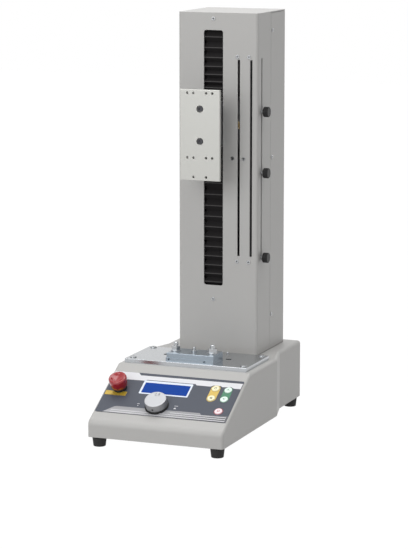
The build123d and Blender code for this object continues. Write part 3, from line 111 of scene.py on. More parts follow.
def rectangle(left: float, right: float, low: float, high: float, radius: float = 0.0) -> list[Point]:
    """A rectangle with round corners, or sharp ones where the radius is 0.

    Args:
        left, right: its ends across.
        low, high: its ends up.
        radius: the corner radius.

    Returns:
        The points of the outline.
    """
    if radius <= 0.0:
        return [(left, low), (right, low), (right, high), (left, high)]
    corners = [(right - radius, low + radius, -90.0), (right - radius, high - radius, 0.0),
               (left + radius, high - radius, 90.0), (left + radius, low + radius, 180.0)]
    points: list[Point] = []
    for u, v, start in corners:
        points += circle((u, v), radius, CORNER_STEPS, start, 90.0)
    return points


def capsule(centre: float, low: float, high: float, radius: float) -> list[Point]:
    """An upright slot shape round two centres."""
    top = circle((centre, high), radius, END_STEPS, 0.0, HALF_TURN)
    return top + circle((centre, low), radius, END_STEPS, HALF_TURN, HALF_TURN)


def cross(centre: Point, reach: float, half: float) -> list[Point]:
    """The outline of a cross recess.

    Args:
        centre: the middle of the cross.
        reach: how far its arms reach.
        half: half the width of an arm.

    Returns:
        The points of the outline.
    """
    steps = [(reach, -half), (reach, half), (half, half), (half, reach), (-half, reach), (-half, half),
             (-reach, half), (-reach, -half), (-half, -half), (-half, -reach), (half, -reach), (half, -half)]
    return [(centre[0] + u, centre[1] + v) for u, v in steps]


@dataclass(frozen=True)
class Datum:
    """A flat working plane with an origin and three unit directions."""

    origin: Vector
    across: Vector
    up: Vector
    out: Vector

    @classmethod
    def level(cls, z: float) -> "Datum":
        """A plane at a height, seen from above."""
        return cls(Vector((0, 0, z)), X, Y, Z)

    @classmethod
    def front(cls, y: float) -> "Datum":
        """An upright plane that faces the front."""
        return cls(Vector((0, y, 0)), X, Z, -Y)

    def at(self, u: float, v: float, h: float) -> Vector:
        """The point u across, v up and h out of the plane, in metres."""
        return (self.origin + self.across * u + self.up * v + self.out * h) * MM


class Shape:
    """A closed mesh that grows by plates and turned parts and ends as one named piece."""

    def __init__(self) -> None:
        """Starts an empty mesh."""
        self.mesh = bmesh.new()

    def ring(self, datum: Datum, loop: Sequence[Point], height: float) -> list[Any]:
        """Adds the points of a loop at one height over a datum."""
        return [self.mesh.verts.new(datum.at(u, v, height)) for u, v in loop]

    def wall(self, first: list[Any], second: list[Any]) -> None:
        """Joins two loops of points with a band of faces.

        Args:
            first, second: the loops, of which one may be a single point.
        """
        count = max(len(first), len(second))
        for k in range(count):
            j = (k + 1) % count
            if len(first) == 1:
                corners = [first[0], second[k], second[j]]
            elif len(second) == 1:
                corners = [first[k], first[j], second[0]]
            else:
                corners = [first[k], first[j], second[j], second[k]]
            self.mesh.faces.new(corners)

    def fill(self, rings: list[list[Any]], normal: Vector) -> None:
        """Closes a flat outline, less the holes in it.

        Args:
            rings: the points of the outline and of the holes.
            normal: the direction that the faces look in.
        """
        edges = []
        for ring in rings:
            for k, vert in enumerate(ring):
                pair = (ring[k - 1], vert)
                edges.append(self.mesh.edges.get(pair) or self.mesh.edges.new(pair))
        bmesh.ops.triangle_fill(self.mesh, use_beauty=True, edges=edges, normal=normal)

    def plate(self, datum: Datum, outline: Sequence[Point], low: float, high: float,
              holes: Sequence[Sequence[Point]] = (), pockets: Sequence[Sequence[Point]] = (),
              depth: float = 0.5) -> "Shape":
        """Adds a flat plate.

        Args:
            datum: the plane that it lies on.
            outline: its outer loop.
            low, high: the heights of its two faces.
            holes: loops that go right through.
            pockets: loops of blind recesses in the upper face, lined with the second material.
            depth: how deep the recesses are.

        Returns:
            The shape itself.
        """
        through = [outline, *holes]
        lower = [self.ring(datum, loop, low) for loop in through]
        upper = [self.ring(datum, loop, high) for loop in through]
        for first, second in zip(lower, upper):
            self.wall(first, second)
        mouths = [self.ring(datum, loop, high) for loop in pockets]
        self.fill(lower, datum.out)
        self.fill(upper + mouths, datum.out)
        outside = len(self.mesh.faces)
        for mouth, loop in zip(mouths, pockets):
            floor = self.ring(datum, loop, high - depth)
            self.wall(mouth, floor)
            self.fill([floor], datum.out)
        self.mesh.faces.ensure_lookup_table()
        for face in self.mesh.faces[outside:]:
            face.material_index = 1
        return self

    def turned(self, datum: Datum, centre: Point, profile: Sequence[Point], steps: int = 64) -> "Shape":
        """Adds a body turned about the datum's outward direction.

        Args:
            datum: the plane that it stands on.
            centre: where its axis is.
            profile: radius and height of each ring, from axis to axis.
            steps: how many sides a ring has.

        Returns:
            The shape itself.
        """
        rings = []
        for radius, height in profile:
            loop = circle(centre, radius, steps) if radius > 0.0 else [centre]
            rings.append(self.ring(datum, loop, height))
        for first, second in zip(rings, rings[1:]):
            self.wall(first, second)
        return self

    def done(self, name: str, material: bpy.types.Material, angle: float = 35.0) -> bpy.types.Object:
        """Ends the mesh as an object.

        Args:
            name: the piece's name.
            material: its finish.
            angle: edges sharper than this many degrees stay sharp.

        Returns:
            The new object, not yet riding on a body.
        """
        bmesh.ops.recalc_face_normals(self.mesh, faces=self.mesh.faces[:])
        data = bpy.data.meshes.new(name)
        self.mesh.to_mesh(data)
        self.mesh.free()
        data.polygons.foreach_set("use_smooth", [True] * len(data.polygons))
        data.set_sharp_from_angle(angle=math.radians(angle))
        data.materials.append(material)
        piece = bpy.data.objects.new(name, data)
        bpy.context.scene.collection.objects.link(piece)
        log.info("%s: %d faces", name, len(data.polygons))
        return piece


def settle(piece: bpy.types.Object, body: str, slot: str, *nodes: str) -> None:
    """Makes a piece ride on its body and hides the nodes that it stands for.

    Args:
        piece: the piece.
        body: the body that it rides on.
        slot: its material slot; not used.
        nodes: the nodes that it replaces.
    """
    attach(piece, body)
    if nodes:
        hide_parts(*nodes)


class Nodes:
    """A hand that lays out shader nodes in one tree."""

    def __init__(self, tree: bpy.types.NodeTree) -> None:
        """Takes the tree to work in."""
        self.tree = tree

    def feed(self, socket: bpy.types.NodeSocket, value: Any) -> None:
        """Links another node's output to an input, or sets the input to a value.

        Args:
            socket: the input.
            value: the output or the value.
        """
        if isinstance(value, bpy.types.NodeSocket):
            self.tree.links.new(value, socket)
        else:
            socket.default_value = value

    def add(self, kind: str, inputs: dict[Any, Any] | None = None, **settings: Any) -> bpy.types.Node:
        """Adds a node.

        Args:
            kind: the node's type without its ShaderNode prefix.
            inputs: a value or another node's output for each named input.
            settings: properties of the node itself.

        Returns:
            The new node.
        """
        node = self.tree.nodes.new("ShaderNode" + kind)
        for name, value in settings.items():
            setattr(node, name, value)
        for key, value in (inputs or {}).items():
            self.feed(node.inputs[key], value)
        return node

    def mix(self, share: Any, first: Any, second: Any) -> bpy.types.NodeSocket:
        """Mixes two colours.

        Args:
            share: how much of the second colour there is.
            first, second: the colours.

        Returns:
            The output with the mixed colour.
        """
        factor, colour_a, colour_b, mixed = 0, 6, 7, 2
        node = self.add("Mix", data_type="RGBA")
        for key, value in ((factor, share), (colour_a, first), (colour_b, second)):
            self.feed(node.inputs[key], value)
        return node.outputs[mixed]

    def span(self, value: Any, low: float, high: float, start: float = 0.0, end: float = 1.0) -> Any:
        """Maps a value from start..end to low..high."""
        inputs = {"Value": value, "From Min": start, "From Max": end, "To Min": low, "To Max": high}
        return self.add("MapRange", inputs).outputs[0]

    def seen(self) -> bpy.types.NodeSocket:
        """Tells what the camera sees, also by reflection and through glass, from what only lights.

        Returns:
            The output, which is 1 for what is seen.
        """
        light = self.add("LightPath")
        facing = self.add("Math", {0: light.outputs["Is Camera Ray"], 1: light.outputs["Is Glossy Ray"]},
                          operation="MAXIMUM")
        whole = self.add("Math", {0: facing.outputs[0], 1: light.outputs["Is Transmission Ray"]},
                         operation="MAXIMUM")
        return whole.outputs[0]


def linear(colour: Colour, gain: float = 1.0) -> tuple[float, float, float, float]:
    """A screen colour as linear light.

    Args:
        colour: its channels from 0 to 255.
        gain: what the light is multiplied by.

    Returns:
        The colour with a full alpha.
    """
    def channel(value: float) -> float:
        """One channel of the colour."""
        share = value / 255.0
        return share / 12.92 if share <= 0.04045 else ((share + 0.055) / 1.055) ** 2.4
    return tuple(min(1.0, channel(c) * gain) for c in colour) + (1.0,)


class SharedNodes:
    """The node groups that several finishes place, each built once."""

    def __init__(self) -> None:
        """Builds the groups."""
        self.grain = self.make_grain()
        self.edges = self.make_edges()
        self.pebble = self.make_pebble()

    def start(self, name: str, inputs: dict[str, tuple[str, Any]],
              outputs: dict[str, str]) -> tuple[Nodes, bpy.types.Node, bpy.types.Node]:
        """Opens a group with its sockets.

        Args:
            name: the group's name.
            inputs: the kind and first value of each input.
            outputs: the kind of each output.

        Returns:
            The layout hand, the input node and the output node.
        """
        tree = bpy.data.node_groups.new(name, "ShaderNodeTree")
        for label, (kind, value) in inputs.items():
            socket = tree.interface.new_socket(name=label, in_out="INPUT", socket_type="NodeSocket" + kind)
            socket.default_value = value
        for label, kind in outputs.items():
            tree.interface.new_socket(name=label, in_out="OUTPUT", socket_type="NodeSocket" + kind)
        return Nodes(tree), tree.nodes.new("NodeGroupInput"), tree.nodes.new("NodeGroupOutput")

    def make_grain(self) -> bpy.types.NodeTree:
        """Builds fine marks that may run one way, and broad clouds of tone.

        Returns:
            The group.
        """
        sockets = {"Vector": ("Vector", (0.0, 0.0, 0.0)), "Stretch": ("Vector", (1.0, 1.0, 1.0)),
                   "Scale": ("Float", 900.0), "Cloud Scale": ("Float", 14.0)}
        nodes, inner, outer = self.start("surface_grain", sockets, {"Fine": "Float", "Cloud": "Float"})
        place = nodes.add("VectorMath", {0: inner.outputs["Vector"], 1: inner.outputs["Stretch"]},
                          operation="MULTIPLY")
        fine = nodes.add("TexNoise", {"Vector": place.outputs[0], "Scale": inner.outputs["Scale"],
                                      "Detail": 4.0, "Roughness": 0.6})
        cloud = nodes.add("TexNoise", {"Vector": inner.outputs["Vector"],
                                       "Scale": inner.outputs["Cloud Scale"], "Detail": 3.0})
        nodes.feed(outer.inputs["Fine"], fine.outputs[0])
        nodes.feed(outer.inputs["Cloud"], cloud.outputs[0])
        return nodes.tree

    def make_edges(self) -> bpy.types.NodeTree:
        """Builds a rounded normal near edges, and a mask of where they are.

        Returns:
            The group.
        """
        sockets = {"Radius": ("Float", 0.0005), "Gain": ("Float", 6.0)}
        nodes, inner, outer = self.start("soft_edges", sockets, {"Normal": "Vector", "Mask": "Float"})
        soft = nodes.add("Bevel", {"Radius": inner.outputs["Radius"]}, samples=4)
        face = nodes.add("NewGeometry")
        facing = nodes.add("VectorMath", {0: soft.outputs[0], 1: face.outputs["Normal"]},
                           operation="DOT_PRODUCT")
        away = nodes.add("Math", {0: 1.0, 1: facing.outputs["Value"]}, operation="SUBTRACT")
        mask = nodes.add("Math", {0: away.outputs[0], 1: inner.outputs["Gain"]}, operation="MULTIPLY",
                         use_clamp=True)
        nodes.feed(outer.inputs["Normal"], soft.outputs[0])
        nodes.feed(outer.inputs["Mask"], mask.outputs[0])
        return nodes.tree

    def make_pebble(self) -> bpy.types.NodeTree:
        """Builds the small rounded pebbles of moulded rubber and plastic.

        Returns:
            The group.
        """
        sockets = {"Vector": ("Vector", (0.0, 0.0, 0.0)), "Scale": ("Float", 1200.0)}
        nodes, inner, outer = self.start("moulded_pebble", sockets, {"Height": "Float"})
        cells = nodes.add("TexVoronoi", {"Vector": inner.outputs["Vector"], "Scale": inner.outputs["Scale"]},
                          feature="SMOOTH_F1")
        nodes.feed(outer.inputs["Height"], cells.outputs["Distance"])
        return nodes.tree


@dataclass(frozen=True)
class Finish:
    """A finish with its grain, its softened edges and its gloss."""

    name: str
    colour: Colour
    roughness: float = 0.5
    metallic: float = 0.0
    grain: Grain = Grain.EVEN
    grain_scale: float = 900.0
    spread: float = 0.04
    bump: float = 0.08
    edge: float = 0.4
    # How strongly a painted highlight lightens the colour along edges
    edge_highlight: float = 0.1
    pebbled: bool = False
    coat: float = 0.0
    gloss: float = 0.5

    bump_depth: ClassVar[float] = 0.2
    coat_roughness: ClassVar[float] = 0.08
    # Colour gain of the painted edge highlight
    highlight_gain: ClassVar[float] = 1.6
    cloud_gain: ClassVar[float] = 3.0
    cloud_range: ClassVar[Point] = (0.35, 0.7)
    fine_range: ClassVar[Point] = (0.3, 0.7)
    smoother: ClassVar[float] = 0.05
    rougher: ClassVar[float] = 0.06

    def build(self, shared: SharedNodes) -> bpy.types.Material:
        """Makes the material.

        Args:
            shared: the node groups to place.

        Returns:
            The new material.
        """
        material = bpy.data.materials.new(self.name)
        material.use_nodes = True
        nodes = Nodes(material.node_tree)
        shader = material.node_tree.nodes["Principled BSDF"]
        place = nodes.add("TexCoord").outputs["Object"]
        grain = nodes.add("Group", node_tree=shared.grain)
        nodes.feed(grain.inputs["Vector"], place)
        grain.inputs["Stretch"].default_value = self.grain.value
        grain.inputs["Scale"].default_value = self.grain_scale
        edges = nodes.add("Group", node_tree=shared.edges)
        edges.inputs["Radius"].default_value = self.edge * MM
        fine = nodes.mix(grain.outputs["Fine"], linear(self.colour, 1.0 - self.spread),
                         linear(self.colour, 1.0 + self.spread))
        clouds = nodes.span(grain.outputs["Cloud"], 0.0, self.spread * self.cloud_gain, *self.cloud_range)
        cloudy = nodes.mix(clouds, fine, linear(self.colour, 1.0 - 2.0 * self.spread))
        # Painted highlight: the colour is lightened along edges by the edge mask
        highlighted = nodes.mix(nodes.span(edges.outputs["Mask"], 0.0, self.edge_highlight), cloudy,
                         linear(self.colour, self.highlight_gain))
        nodes.feed(shader.inputs["Base Color"], self.decorate(nodes, place, highlighted))
        rough = nodes.span(grain.outputs["Fine"], self.roughness - self.smoother,
                           self.roughness + self.rougher, *self.fine_range)
        nodes.feed(shader.inputs["Roughness"], rough)
        height = grain.outputs["Fine"]
        if self.pebbled:
            pebble = nodes.add("Group", node_tree=shared.pebble)
            nodes.feed(pebble.inputs["Vector"], place)
            height = pebble.outputs["Height"]
        bump = nodes.add("Bump", {"Height": height, "Normal": edges.outputs["Normal"],
                                  "Strength": self.bump, "Distance": self.bump_depth * MM})
        nodes.feed(shader.inputs["Normal"], bump.outputs[0])
        shader.inputs["Metallic"].default_value = self.metallic
        shader.inputs["Specular IOR Level"].default_value = self.gloss
        shader.inputs["Coat Weight"].default_value = self.coat
        shader.inputs["Coat Roughness"].default_value = self.coat_roughness
        return material

    def decorate(self, nodes: Nodes, place: bpy.types.NodeSocket,
                 colour: bpy.types.NodeSocket) -> bpy.types.NodeSocket:
        """Adds nothing: a plain finish keeps its colour."""
        return colour


@dataclass(frozen=True)
class DisplayFinish(Finish):
    """A lit display with fine rows and columns of dots."""

    pitch: float = 2.4
    wave_rate: float = 3.2
    gap_share: float = 0.22
    gap_start: float = 0.6
    gap_gain: float = 0.45

    def decorate(self, nodes: Nodes, place: bpy.types.NodeSocket,
                 colour: bpy.types.NodeSocket) -> bpy.types.NodeSocket:
        """Darkens the gaps between the dots.

        Args:
            nodes: the layout hand.
            place: the coordinates.
            colour: the colour so far.

        Returns:
            The colour with the dots.
        """
        for way in ("X", "Y"):
            wave = nodes.add("TexWave", {"Vector": place, "Scale": 1.0 / (self.pitch * MM * self.wave_rate)},
                             bands_direction=way)
            gaps = nodes.span(wave.outputs["Fac"], 0.0, self.gap_share, self.gap_start, 1.0)
            colour = nodes.mix(gaps, colour, linear(self.colour, self.gap_gain))
        return colour


@dataclass(frozen=True)
class BoardFinish(Finish):
    """A circuit board with copper tracks under its lacquer."""

    track_colour: Colour = (150, 170, 90)
    track_scale: float = 160.0
    track_width: float = 0.06
    track_share: float = 0.6

    def decorate(self, nodes: Nodes, place: bpy.types.NodeSocket,
                 colour: bpy.types.NodeSocket) -> bpy.types.NodeSocket:
        """Adds tracks.

        Args:
            nodes: the layout hand.
            place: the coordinates.
            colour: the colour so far.

        Returns:
            The colour with the tracks.
        """
        tracks = nodes.add("TexBrick", {"Vector": place, "Scale": self.track_scale,
                                        "Mortar Size": self.track_width})
        return nodes.mix(nodes.span(tracks.outputs["Fac"], 0.0, self.track_share), colour,
                         linear(self.track_colour))


@dataclass(frozen=True)
class SweepFinish(Finish):
    """A print that darkens up the panel, with faint slanting streaks."""

    top_height: float = 62.0
    low_height: float = 52.0
    fade_colour: Colour = (136, 136, 140)
    fade_share: float = 0.75
    streak_colour: Colour = (160, 160, 164)
    streak_scale: float = 14.0
    streak_bend: float = 2.0
    streak_share: float = 0.25

    def decorate(self, nodes: Nodes, place: bpy.types.NodeSocket,
                 colour: bpy.types.NodeSocket) -> bpy.types.NodeSocket:
        """Adds the fade and the streaks.

        Args:
            nodes: the layout hand.
            place: the coordinates.
            colour: the colour so far.

        Returns:
            The shaded colour.
        """
        height = nodes.add("SeparateXYZ", {"Vector": place}).outputs["Z"]
        fade = nodes.span(height, 0.0, self.fade_share, self.low_height * MM, self.top_height * MM)
        streaks = nodes.add("TexWave", {"Vector": place, "Scale": self.streak_scale,
                                        "Distortion": self.streak_bend}, bands_direction="DIAGONAL")
        shaded = nodes.mix(fade, colour, linear(self.fade_colour))
        return nodes.mix(nodes.span(streaks.outputs["Fac"], 0.0, self.streak_share), shaded,
                         linear(self.streak_colour))


FINISHES: dict[str, Finish] = {f.name: f for f in (
    Finish("painted_cover", (182, 181, 179), 0.42, edge=1.2, grain_scale=1500.0, spread=0.015, bump=0.10),
    Finish("painted_base", (182, 181, 179), 0.45, edge=1.2, grain_scale=1500.0, spread=0.018, bump=0.12),
    Finish("black_rubber", (26, 25, 25), 0.75, pebbled=True, bump=0.35),
    Finish("zinc_steel", (196, 196, 198), 0.32, 1.0, edge_highlight=0.3),
    Finish("ground_steel", (178, 181, 184), 0.22, 1.0, Grain.ALONG_X, 2600.0, 0.08, 0.10, edge_highlight=0.0),
    Finish("frame_steel", (120, 122, 126), 0.5, 1.0, spread=0.1),
    Finish("fixture_steel", (148, 158, 167), 0.3, 1.0, Grain.ALONG_X, 2400.0, 0.08, 0.10, edge_highlight=0.4),
    Finish("bright_fastener", (172, 174, 176), 0.2, 1.0, edge_highlight=0.3),
    Finish("overlay_print", (82, 86, 96), 0.5, spread=0.02, bump=0.04, gloss=0.25),
    DisplayFinish("display_window", (10, 66, 158), 0.5, spread=0.06, bump=0.01, gloss=0.12),
    BoardFinish("circuit_board", (22, 84, 52), 0.4),
    Finish("key_yellow", (246, 240, 202), 0.42, spread=0.02, bump=0.05),
    Finish("key_green", (230, 248, 238), 0.42, spread=0.02, bump=0.05),
    Finish("key_red", (250, 228, 232), 0.42, spread=0.02, bump=0.05),
    Finish("dial_aluminium", (168, 169, 172), 0.4, 0.8, Grain.ALONG_X, 2600.0, 0.05, 0.06, edge_highlight=0.3),
    Finish("black_plastic", (18, 18, 19), 0.45, pebbled=True, bump=0.12, gloss=0.3),
    Finish("red_plastic", (158, 14, 28), 0.2, spread=0.03, bump=0.02, coat=0.5),
    Finish("grey_plastic", (96, 98, 100), 0.5, pebbled=True),
    Finish("satin_aluminium", (184, 184, 180), 0.36, 0.7, Grain.ALONG_Z, 2600.0, 0.03, 0.05, edge_highlight=0.2),
    Finish("machined_aluminium", (186, 188, 190), 0.34, 1.0, Grain.ALONG_X, 2200.0, 0.07, 0.10, edge_highlight=0.3),
    Finish("brass", (196, 158, 84), 0.28, 1.0, Grain.ALONG_X, 2200.0, 0.08, edge_highlight=0.3),
    Finish("screw_steel", (168, 170, 174), 0.22, 1.0, Grain.ALONG_Z, 2200.0, 0.08, edge_highlight=0.3),
    Finish("black_oxide", (74, 74, 77), 0.35, 0.9, edge_highlight=0.2),
    Finish("bellows_cloth", (22, 20, 21), 0.8, spread=0.15, grain_scale=2600.0, bump=0.3, edge_highlight=0.0,
           gloss=0.2),
    Finish("motor_black", (36, 36, 39), 0.42, 0.2, pebbled=True, bump=0.2),
    Finish("supply_case", (170, 172, 172), 0.4, 0.9, Grain.ALONG_Y, 2000.0, 0.08),
    Finish("print_white", (224, 224, 228), 0.4, spread=0.01, bump=0.02),
    Finish("print_frame", (226, 234, 248), 0.4, spread=0.01, bump=0.02),
    SweepFinish("print_light", (190, 190, 193), 0.4, spread=0.02, bump=0.02),
    Finish("print_line", (204, 204, 207), 0.4, spread=0.01, bump=0.02),
    Finish("print_outline", (66, 66, 72), 0.4, spread=0.01, bump=0.02),
    Finish("print_gold", (216, 184, 88), 0.4, spread=0.02, bump=0.02),
    Finish("print_green", (62, 128, 96), 0.4, spread=0.02, bump=0.02),
    Finish("print_red", (166, 44, 66), 0.4, spread=0.02, bump=0.02),
    Finish("plate_yellow", (204, 172, 62), 0.32, 0.25, Grain.ALONG_X, 1800.0, 0.08, 0.08, coat=0.3),
    # Painted highlight for the lit lips of the bellows' folds
    Finish("bellows_fold_highlight", (60, 58, 58), 0.7, spread=0.1, grain_scale=2600.0, bump=0.2),
    # Near-black painted shade for the cross recesses and the set screw's hole
    Finish("painted_recess_shade", (18, 18, 19), 0.6),
)}


class Workshop:
    """Holds the shared node groups and hands out each finish's material."""

    def __init__(self) -> None:
        """Builds the groups and every material."""
        shared = SharedNodes()
        self.materials = {name: finish.build(shared) for name, finish in FINISHES.items()}

    def dress(self, nodes: dict[str, str]) -> None:
        """Gives carried-over nodes their finishes.

        Args:
            nodes: the finish's name for each node.
        """
        for node, finish in nodes.items():
            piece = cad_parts[node]
            if not piece.material_slots:
                piece.data.materials.append(None)
            for slot in piece.material_slots:
                slot.material = self.materials[finish]
            log.info("%s: %s", node, finish)


class SubAssembly:
    """A group of nodes that belong together, with the finish of each."""

    finishes: ClassVar[dict[str, str]] = {}

    def dress(self, shop: Workshop) -> None:
        """Gives the nodes of the sub-assembly their finishes."""
        shop.dress(self.finishes)


class Base(SubAssembly):
    """The housing with its feet, underside, insides and rear fittings."""

    finishes: ClassVar[dict[str, str]] = {
        "base_housing": "painted_base", "base_bottom_plate": "frame_steel",
        "bottom_plate_screws": "zinc_steel", "rubber_feet": "black_rubber", "foot_screws": "zinc_steel",
        "base_frame": "frame_steel", "control_board": "circuit_board", "power_supply": "supply_case",
        "power_inlet": "black_plastic", "switch_frame": "black_plastic", "signal_connector": "zinc_steel",
        "power_rocker": "black_plastic", "drive_motor": "motor_black", "motor_pulley": "machined_aluminium",
        "timing_belt": "black_rubber", "lower_bearing_block": "frame_steel",
    }


@dataclass
class Table(SubAssembly):
    """The steel sample table with the fixture on it and its locating pin."""

    pin_x: float = 37.0
    pin_y: float = 21.5
    pin_radius: float = 2.0
    pin_height: float = 2.4
    pin_chamfer: float = 0.5

    finishes: ClassVar[dict[str, str]] = {
        "table_plate": "ground_steel", "table_plate_screws": "bright_fastener",
        "fixture_lower_plate": "fixture_steel", "fixture_upper_block": "fixture_steel",
        "fixture_clamp_bolts": "bright_fastener", "fixture_centre_screw": "bright_fastener",
    }

    def build_pin(self, shop: Workshop) -> None:
        """Makes the small bright pin that stands on the table.

        Args:
            shop: the finishes.
        """
        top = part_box("table_plate")[1].z / MM
        profile = [(0.0, 0.0), (self.pin_radius, 0.0), (self.pin_radius, self.pin_height - self.pin_chamfer),
                   (self.pin_radius - self.pin_chamfer, self.pin_height), (0.0, self.pin_height)]
        shape = Shape().turned(Datum.level(top), (self.pin_x, self.pin_y), profile, steps=32)
        settle(shape.done("table_pin", shop.materials["bright_fastener"]), "root", "bright_fastener")


@dataclass
class ControlPanel(SubAssembly):
    """The sloping panel: its print, display, keys, dial and emergency stop."""

    slope_degrees: float = 29.94
    start_y: float = -207.5
    start_z: float = 42.5
    film_top: float = 0.8
    ink: float = 0.04
    line_end: float = 111.3
    line_half: float = 0.95
    line_corner: float = 0.8
    shade_end: float = 112.4
    shade_near: float = 1.1
    shade_far: float = 2.15
    key_radius: float = 6.4
    key_top: float = 2.1
    key_gap: float = 0.35
    mode_x: float = 71.4
    mode_low: float = 77.3
    mode_high: float = 100.6
    mode_margin: float = 1.1
    arrow_x: float = 93.6
    up_s: float = 99.4
    down_s: float = 77.4
    arrow_margin: float = 0.7
    stop_s: float = 48.8
    stop_margin: float = 0.9
    sign_ring_outer: float = 2.2
    sign_ring_inner: float = 1.5
    dial_x: float = -12.5
    dial_s: float = 48.2
    dial_hole: float = 19.8
    dial_arc_start: float = 203.0
    dial_arc_sweep: float = 134.0
    set_screw_rise: float = 8.6
    estop_x: float = -90.0
    estop_s: float = 82.4
    estop_plate_thickness: float = 0.5
    estop_notch_radius: float = 11.3
    estop_notch_start: float = 220.0
    estop_notch_sweep: float = 100.0
    estop_head_crease: float = 50.0

    # Outlines across and up the panel
    band: ClassVar[tuple[Point, ...]] = (
        (-113.3, 104.8), (-53.6, 105.1), (-51.4, 107.6), (34.0, 107.6), (36.5, 104.9), (61.0, 104.8),
        (65.0, 107.8), (77.5, 108.0), (81.5, 105.8), (87.0, 106.4), (96.0, 107.4), (101.0, 104.6),
        (113.0, 104.6), (113.0, 117.4), (-66.0, 117.2), (-71.2, 122.8), (-113.3, 122.8))
    sweep_left: ClassVar[tuple[Point, ...]] = ((-100.2, 24.8), (-84.5, 39.0), (-80.0, 40.4))
    sweep_right: ClassVar[tuple[Point, ...]] = (
        (28.8, 41.2), (64.2, 41.2), (67.4, 37.6), (112.7, 38.8), (112.7, 24.8))
    fast_triangle: ClassVar[tuple[Point, ...]] = ((16.6, 45.4), (21.4, 45.4), (19.0, 48.8))
    estop_plate_low: ClassVar[tuple[Point, ...]] = ((-111.8, 65.4), (-75.0, 65.4), (-74.8, 74.9))
    estop_plate_corner: ClassVar[Point] = (-112.0, 74.9)
    chevron: ClassVar[tuple[Point, ...]] = (
        (-2.6, -1.2), (0.0, 1.6), (2.6, -1.2), (1.6, -1.6), (0.0, 0.2), (-1.6, -1.6))
    # The height of each light line, and where its dark shade and the line itself start
    lines: ClassVar[tuple[tuple[float, ...], ...]] = (
        (35.8, 14.0, 14.0), (31.4, -44.0, -88.0), (27.0, -50.0, -88.0))
    # Left, right, low, high and corner radius
    display_outer: ClassVar[tuple[float, ...]] = (-55.0, 31.0, 74.3, 106.2, 2.0)
    display_inner: ClassVar[tuple[float, ...]] = (-51.3, 28.1, 77.1, 101.5, 0.6)
    dial_bars: ClassVar[dict[str, tuple[float, ...]]] = {
        "slow_mark_1": (-47.6, -43.6, 49.6, 50.6), "slow_mark_2": (-46.6, -44.4, 45.6, 46.6),
        "fast_mark_1": (16.5, 22.6, 52.0, 52.8)}
    # Half width, half height and corner radius of the outer and the inner edge
    frames: ClassVar[dict[Mark, tuple[tuple[float, ...], ...]]] = {
        Mark.BARS: ((2.0, 1.8, 0.4), (0.7, 1.1, 0.2)),
        Mark.SQUARE: ((2.0, 2.0, 0.3), (1.3, 1.3, 0.2))}
    # Radius and height of each ring of the turned parts
    set_screw_profile: ClassVar[tuple[Point, ...]] = (
        (0.0, 17.0), (1.7, 17.0), (1.7, 18.05), (1.4, 18.15), (0.0, 18.15))
    collar_profile: ClassVar[tuple[Point, ...]] = (
        (0.0, -26.0), (8.3, -26.0), (8.3, 7.8), (9.6, 7.8), (10.2, 3.2), (10.8, 2.7), (11.0, 2.0),
        (11.0, -3.0), (14.0, -3.0), (14.0, -7.0), (11.0, -7.0), (11.0, -34.0), (0.0, -34.0))
    head_profile: ClassVar[tuple[Point, ...]] = (
        (0.0, 17.5), (11.2, 17.5), (11.2, 7.8), (11.9, 7.2), (12.9, 7.3), (13.5, 8.0), (14.4, 12.5),
        (15.0, 16.5), (15.1, 21.4), (14.8, 23.4), (13.8, 24.9), (12.3, 25.4), (10.9, 24.8),
        (8.5, 22.9), (4.5, 21.8), (0.0, 21.6))

    finishes: ClassVar[dict[str, str]] = {
        "panel_overlay": "overlay_print", "lcd_window": "display_window", "panel_board": "circuit_board",
        "dial_ring": "black_plastic", "speed_encoder": "black_plastic",
        "estop_plunger": "grey_plastic", "speed_dial": "dial_aluminium",
        "mode_key_upper": "key_yellow", "mode_key_lower": "key_yellow", "up_key": "key_green",
        "down_key": "key_green", "stop_key": "key_red",
    }

    def datum(self) -> Datum:
        """The panel's face as a working plane.

        Returns:
            The plane, with its origin in the middle of the panel's lower edge.
        """
        a = math.radians(self.slope_degrees)
        along = Vector((0.0, math.cos(a), math.sin(a)))
        out = Vector((0.0, -math.sin(a), math.cos(a)))
        return Datum(Vector((0.0, self.start_y, self.start_z)), X, along, out)

    def ink_plate(self, shop: Workshop, name: str, finish: str, outline: Sequence[Point],
                  holes: Sequence[Sequence[Point]] = (), layer: int = 0, body: str = "root",
                  slot: str = "overlay_print", base: float | None = None) -> None:
        """Makes one printed area.

        Args:
            shop: the finishes.
            name: the piece's name.
            finish: its finish.
            outline: its outer loop.
            holes: loops left out of it.
            layer: how many inks lie under it.
            body: the body that it rides on.
            slot: its material slot.
            base: the height of the face that it is printed on, if not the panel's film.
        """
        low = (self.film_top if base is None else base) + layer * self.ink
        shape = Shape().plate(self.datum(), outline, low, low + self.ink, holes)
        settle(shape.done(name, shop.materials[finish]), body, slot)

    def build_print(self, shop: Workshop) -> None:
        """Makes the white band, the light sweep with its lines, and the display's frame.

        Args:
            shop: the finishes.
        """
        self.ink_plate(shop, "panel_white_band", "print_white", self.band)
        arc = circle((self.dial_x, self.dial_s), self.dial_hole, 24, self.dial_arc_start, self.dial_arc_sweep)
        self.ink_plate(shop, "panel_light_sweep", "print_light", [*self.sweep_left, *arc, *self.sweep_right])
        near, far = self.shade_near, self.shade_far
        for k, (s, shade_start, start) in enumerate(self.lines, 1):
            shade = [(shade_start, s - near), (self.shade_end, s - far), (self.shade_end, s + far),
                     (shade_start, s + near)]
            self.ink_plate(shop, f"panel_line_outline_{k}", "print_outline", shade, layer=1)
            bar = rectangle(start, self.line_end, s - self.line_half, s + self.line_half, self.line_corner)
            self.ink_plate(shop, f"panel_line_{k}", "print_line", bar, layer=2)
        self.ink_plate(shop, "display_frame_print", "print_frame", rectangle(*self.display_outer),
                       [rectangle(*self.display_inner)])

